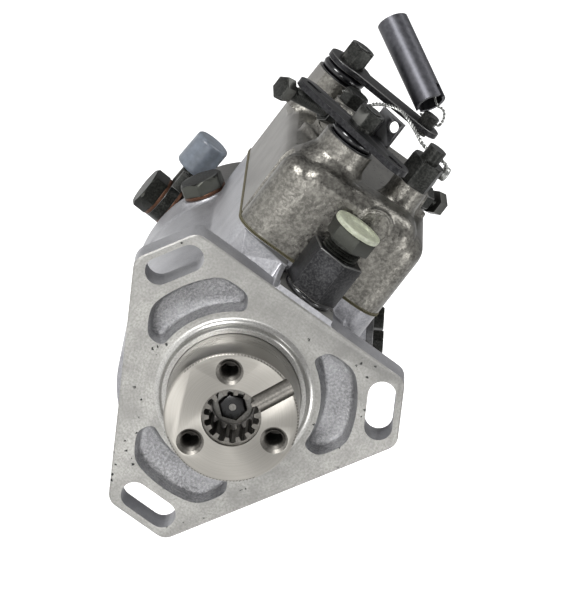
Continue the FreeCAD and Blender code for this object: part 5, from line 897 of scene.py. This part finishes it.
# fuel return adapter with its plug, transit disc and sealing ring, one above the other
adapterSize = {
    "hex": {"low": 41.6, "high": 58, "flats": 17.2, "spin": 16.5}, "socket": (49, 6.62), "bore": 2.5,
    "stem": {"low": 29, "high": 42.2, "radius": 6.6},
    "plug": {"low": 62.0, "high": 67.6, "flats": 14.5, "spin": 13, "thread": 6.6, "from": 50.2, "pitch": 1.25},
    "disc": {"low": 67.6, "high": 69.4, "radius": 8.5, "dish": (5.2, 6.2), "stem": 2.35},
    "ring": {"at": 40.95, "reach": 7.75, "thick": 1.2},
}
adapterAlong = housing["adapter"]["along"]


def aboveHole(height):
    return (0, adapterAlong, height)


def levelEdge(a, b):
    return abs(a.z - b.z) < 0.1


# a hexagon across its flats, with broken rims
def addHexagon(name, size, edge):
    radius = size["flats"] / 2 / math.cos(math.radians(30))
    piece = addRod(name, aboveHole(size["low"]), aboveHole(size["high"]), radius, sides=6, spin=size["spin"])
    bevelEdges(piece, levelEdge, edge, 2)
    return piece


# the faces of a hexagon's broken edges, away from its flats; spin is the angle of one corner
def hexEdge(at, normal, spin, radius):
    off = abs((math.degrees(math.atan2(normal.y, normal.x)) - spin) % 60 - 30)
    slant = abs(normal.z)
    return math.hypot(at.x, at.y - adapterAlong) > radius and (0.15 < slant < 0.97 or slant < 0.15 and off > 6)


adapter = addHexagon("adapterHex", adapterSize["hex"], 0.5)
socketFloor, socketRadius = adapterSize["socket"]
bore, stemSize = adapterSize["bore"], adapterSize["stem"]
adapter = cutAway(adapter, [addRod("socket", aboveHole(socketFloor), aboveHole(60), socketRadius),
                            addRod("bore", aboveHole(38), aboveHole(60), bore)])
breakEdges(adapter, 0.25, 2, 32)
adapterStem = addTube("adapterStem", aboveHole(stemSize["low"]), aboveHole(stemSize["high"]), bore, stemSize["radius"])
adapter = stand(joinAll("fuelAdapter", [adapter, adapterStem]), "fuel_adapter", "adapter")
# the hex's broken edges take the pale edge finish: partly wear, partly a painted highlight
refinish(adapter, "wearAndHighlightEdge", lambda at, normal: hexEdge(at, normal, adapterSize["hex"]["spin"] + 30, 8))

plugSize = adapterSize["plug"]
plugHex = addHexagon("plugHex", plugSize, 0.5)
cutAway(plugHex, [addRod("bore", aboveHole(60), aboveHole(70), bore)])
plugThread = addThread("plugThread", aboveHole(plugSize["from"]), aboveHole(plugSize["low"] + 0.1),
                       plugSize["thread"], plugSize["pitch"])
stand(joinAll("adapterPlug", [plugHex, plugThread]), "adapter_plug", "blackOlive")

discSize = adapterSize["disc"]
disc = addRod("transitDisc", aboveHole(discSize["low"]), aboveHole(discSize["high"]), discSize["radius"], sides=96)
bevelEdges(disc, levelEdge, 0.35, 3)
cutAway(disc, [addRod("dish", aboveHole(68.7), aboveHole(70), *discSize["dish"], sides=96)])
stem = addRod("stem", aboveHole(63.6), aboveHole(discSize["low"] + 0.1), discSize["stem"])
stand(joinAll("transitDisc", [disc, stem]), "transit_disc", "nylon")

ringSize = adapterSize["ring"]
sealRing = addRing(aboveHole(ringSize["at"]), ringSize["reach"], ringSize["thick"])
washerLow = addTube("washer", aboveHole(39.75), aboveHole(40.7), 6.8, 7.7)
stand(joinAll("adapterWasher", [sealRing, washerLow]), "adapter_washer", "rubber")

# gasket: the sheet between the castings, squeezed out in two thin lips
gasketSize = {"levels": (43.58, 44.22), "thick": 0.46, "proud": 0.35, "land": 4.5, "edge": 0.2}
lips = []
for level in gasketSize["levels"]:
    wide, long = (side + 2 * gasketSize["proud"] for side in deckSize)
    lip = addBox("lip", (*deckMiddle, level), (wide, long, gasketSize["thick"]),
                 corner=deck["round"] + gasketSize["proud"])
    bevelEdges(lip, lambda a, b, level=level: levelEdge(a, b) and abs(a.z - level) < 0.3, gasketSize["edge"], 3)
    wide, long = (side - 2 * gasketSize["land"] for side in deckSize)
    lips.append(cutAway(lip, [addBox("open", (*deckMiddle, level), (wide, long, 3), corner=5)]))
stand(joinAll("coverGasket", lips), "cover_gasket", "gasket")

# dust rings, each a fat rubber ring over a thin steel washer
dustSize = {"rings": {"throttle": (-15.8, 34.0, 84.8, 88.4), "stop": (-23.6, 90.0, 88.0, 91.8)},
            "shaft": 4.1, "reach": 6.55, "thick": 1.7, "collar": 6.2, "washer": 8.2}
ringPieces = []
for x, y, low, high in dustSize["rings"].values():
    fat = addRing((x, y, (low + high + 0.5) / 2), dustSize["reach"], dustSize["thick"])
    collar = addTube("collar", (x, y, low + 0.3), (x, y, high - 0.2), dustSize["shaft"], dustSize["collar"])
    plate = addTube("plate", (x, y, low + 0.02), (x, y, low + 0.5), dustSize["shaft"], dustSize["washer"])
    plate.data.materials.append(finishes["rubber"])
    plate.data.materials.append(finishes["ground"])
    for polygon in plate.data.polygons:
        polygon.material_index = 1
    for other in (fat, collar):
        other.data.materials.append(finishes["rubber"])
    ringPieces += [plate, fat, collar]
stand(joinAll("dustRings", ringPieces), "dust_rings")

# levers, nuts and the other fasteners keep their own shape with broken edges
plain = {
    "throttle_lever": ("throttleLever", "lever", 0.3), "stop_lever": ("stopLever", "lever", 0.3),
    "throttle_nut": ("throttleNut", "black", 0.35), "stop_nut": ("stopNut", "black", 0.35),
    "throttle_shaft": ("throttleShaft", "black", 0.3), "stop_shaft": ("stopShaft", "black", 0.3),
    "lever_clamp_screw": ("clampScrew", "black", 0.3), "stop_lock_nuts": ("lockNuts", "black", 0.4),
    "vent_screw": ("ventScrew", "black", 0.35), "cover_cap_nuts": ("coverNuts", "black", 0.45),
    "tamper_sleeve": ("tamperSleeve", "gunmetal", 0.5), "head_locking_screws": ("lockingScrews", "blackOlive", 0.4),
    "outlet_bolts": ("outletBolts", "blackOlive", 0.4), "outlet_banjos": ("outletBanjos", "black", 0.5),
    "outlet_washers": ("outletWashers", "copper", 0.2), "locking_washers": ("lockingWashers", "copper", 0.2),
    "outlet_caps": ("outletCaps", "polythene", 1.1), "inspection_cover": ("inspectionCover", "pressed", 0.4),
    "inspection_screws": ("inspectionScrews", "black", 0.35), "end_plate": ("endPlate", "dieCast", 0.6),
    "end_plate_screws": ("endPlateScrews", "black", 0.4), "inlet_union": ("inletUnion", "phosphated", 0.4),
    "hydraulic_head": ("hydraulicHead", "ground", 0.5), "cam_locking_screw": ("camLockingScrew", "black", 0.4),
}
for node, (name, finish, edge) in plain.items():
    dress(name, node, finish, edge, 3 if edge > 0.3 else 2)
print("fasteners done")


# a smooth path through the points, as a list of places in metres
def smoothPath(name, points):
    path = bpy.data.curves.new(name, "CURVE")
    path.dimensions = "3D"
    spline = path.splines.new("NURBS")
    spline.points.add(len(points) - 1)
    for point, at in zip(spline.points, points):
        point.co = (*(Vector(at) * mm), 1)
    spline.order_u = 3
    spline.use_endpoint_u = True
    spline.resolution_u = 16
    line = bpy.data.meshes.new_from_object(bpy.data.objects.new(name, path))
    return [vertex.co.copy() for vertex in line.vertices]


# wire of two strands twisted round each other
def addStrands(name, points, radius, pitch, steps=6):
    at = smoothPath(name, points)
    strands = bpy.data.curves.new(name, "CURVE")
    strands.dimensions = "3D"
    strands.bevel_depth = radius * mm
    strands.bevel_resolution = 3
    for phase in (0, math.pi):
        twisted = []
        gone = 0.0
        for i, here in enumerate(at):
            after = at[min(i + 1, len(at) - 1)]
            ahead = after - at[max(i - 1, 0)]
            side = ahead.cross(Vector((0.3, 0.5, 0.8))).normalized()
            up = ahead.cross(side).normalized()
            for step in range(steps if i < len(at) - 1 else 1):
                angle = phase + 2 * math.pi * gone / (pitch * mm)
                turned = (side * math.cos(angle) + up * math.sin(angle)) * radius * mm
                twisted.append(here.lerp(after, step / steps) + turned)
                gone += (after - here).length / steps
        strand = strands.splines.new("POLY")
        strand.points.add(len(twisted) - 1)
        for point, spot in zip(strand.points, twisted):
            point.co = (*spot, 1)
    wire = bpy.data.objects.new(name, strands)
    bpy.context.scene.collection.objects.link(wire)
    useOnly(wire)
    bpy.ops.object.convert(target="MESH")
    return bpy.context.active_object


# seal wire in a bow from the vent screw to the front nut, with a lead slug; the sleeve's tie wire
wires = {
    "seal": {"before": (-22.8, 73, 88.5), "start": (-12.6, 73, 88.5), "end": (6.3, 42.8, 95.9),
             "rise": ((0.05, 3.0), (0.28, 5.6), (0.45, 6.0), (0.63, 4.5), (0.8, 2.6)),
             "after": ((15.5, 42.8, 95.9), (17.5, 46.4, 93.5), (18.5, 50, 91)), "radius": 0.34, "pitch": 3.2},
    "slug": {"start": (17.2, 50, 91), "end": (19.8, 50, 91), "radius": 2.6, "edge": 0.7},
    "tie": {"points": ((4.1, 79.85, 96.4), (10.6, 79.85, 96.4), (12.1, 79.9, 96.4), (12.2, 80.6, 99.5),
                       (10.2, 81.6, 102.2), (7.0, 82.9, 101.0), (2.9, 86.2, 105.7)), "radius": 0.25, "pitch": 2.4},
}
sealPath, slugSize, tiePath = wires["seal"], wires["slug"], wires["tie"]
start, end = Vector(sealPath["start"]), Vector(sealPath["end"])
bow = [start + (end - start) * share + Vector((0, 0, rise)) for share, rise in sealPath["rise"]]
wire = addStrands("sealWire", [sealPath["before"], start, *bow, end, *sealPath["after"]],
                  sealPath["radius"], sealPath["pitch"])
slug = addRod("slug", slugSize["start"], slugSize["end"], slugSize["radius"])
bevelEdges(slug, lambda a, b: abs(a.x - b.x) < 0.1, slugSize["edge"], 3)
stand(joinAll("sealWire", [wire, slug]), "seal_wire", "wire")
tie = addStrands("tieWire", tiePath["points"], tiePath["radius"], tiePath["pitch"])
stand(tie, "sleeve_tie_wire", "wire")
print("wires done")


# camera as in the photograph, fitted to the flange, hub and cover
cameraView = {
    "place": (-0.256855, -1.570274, 0.459339),
    "right": (0.8047, 0.02922, 0.59296),
    "down": (0.57354, -0.29621, -0.76375),
    "ahead": (0.15332, 0.95468, -0.25512),
    "lens": 305.6,
}
cameraData = bpy.data.cameras.new("camera")
cameraData.lens = cameraView["lens"]
cameraData.sensor_width = 36
cameraData.clip_end = 20
camera = bpy.data.objects.new("camera", cameraData)
bpy.context.scene.collection.objects.link(camera)
columns = [Vector(cameraView["right"]), -Vector(cameraView["down"]), -Vector(cameraView["ahead"])]
camera.matrix_world = Matrix.Translation(cameraView["place"]) @ Matrix(columns).transposed().to_4x4()
bpy.context.scene.camera = camera

# soft studio: a key lamp at the left, one low in front, one at the right and one above
lamps = {
    "key": {"at": (-1.35, -1.0, 0.95), "size": 0.6, "power": 34},
    "front": {"at": (-0.36, -1.76, -0.08), "size": 0.5, "power": 15},
    "right": {"at": (1.5, -1.1, 0.1), "size": 0.6, "power": 12},
    "top": {"at": (0.5, 0.3, 1.6), "size": 0.7, "power": 10},
}
for name, lamp in lamps.items():
    data = bpy.data.lights.new(name, "AREA")
    data.size = lamp["size"]
    data.energy = lamp["power"]
    light = bpy.data.objects.new(name, data)
    light.location = lamp["at"]
    light.rotation_euler = (Vector((0, 0.05, 0)) - Vector(lamp["at"])).to_track_quat("-Z", "Y").to_euler()
    bpy.context.scene.collection.objects.link(light)

# the world is white to the camera and shades from light above to grey below in the metal
world = bpy.data.worlds.new("studio")
world.use_nodes = True
tree = world.node_tree
tree.nodes.clear()
direction = tree.nodes.new("ShaderNodeTexCoord").outputs["Generated"]
compass = addNode(tree, "ShaderNodeSeparateXYZ", Vector=direction).outputs
rising = blendColours(tree, spread(tree, compass["Z"], -0.4, 0.8, 0, 1), "#4a4a4c", "#c4c4c4")
leftBox = blendColours(tree, spread(tree, compass["X"], -0.75, -0.4, 1, 0), rising, "#e6e6e6")
shade = blendColours(tree, spread(tree, compass["X"], 0.55, 0.85, 0, 0.8), leftBox, "#dcdcdc")
rays = tree.nodes.new("ShaderNodeLightPath")
cameraRay = blendColours(tree, rays.outputs["Is Camera Ray"], shade, "#ffffff")
background = addNode(tree, "ShaderNodeBackground", {"Strength": 1.0}, Color=cameraRay)
output = tree.nodes.new("ShaderNodeOutputWorld")
tree.links.new(background.outputs[0], output.inputs[0])
bpy.context.scene.world = world

bpy.ops.object.select_all(action="DESELECT")
floorData = {"height": -0.085, "size": 30.0}
bpy.ops.mesh.primitive_plane_add(size=floorData["size"], location=(0, 0, floorData["height"]))
floor = bpy.context.active_object
floor.name = "floor"
floorMaterial, tree, shader, place = newMaterial("white sweep", {"Base Color": linear("#fafafa"), "Roughness": 0.9})
rays = tree.nodes.new("ShaderNodeLightPath")
glow = addNode(tree, "ShaderNodeEmission", {"Color": (1, 1, 1, 1), "Strength": 0.45})
mixed = addNode(tree, "ShaderNodeAddShader")
tree.links.new(shader.outputs[0], mixed.inputs[0])
tree.links.new(glow.outputs[0], mixed.inputs[1])
chosen = addNode(tree, "ShaderNodeMixShader")
tree.links.new(rays.outputs["Is Camera Ray"], chosen.inputs[0])
tree.links.new(shader.outputs[0], chosen.inputs[1])
tree.links.new(mixed.outputs[0], chosen.inputs[2])
tree.links.new(chosen.outputs[0], tree.nodes["Material Output"].inputs[0])
floor.data.materials.append(floorMaterial)
bpy.context.scene.view_settings.view_transform = "Standard"
print("studio done")
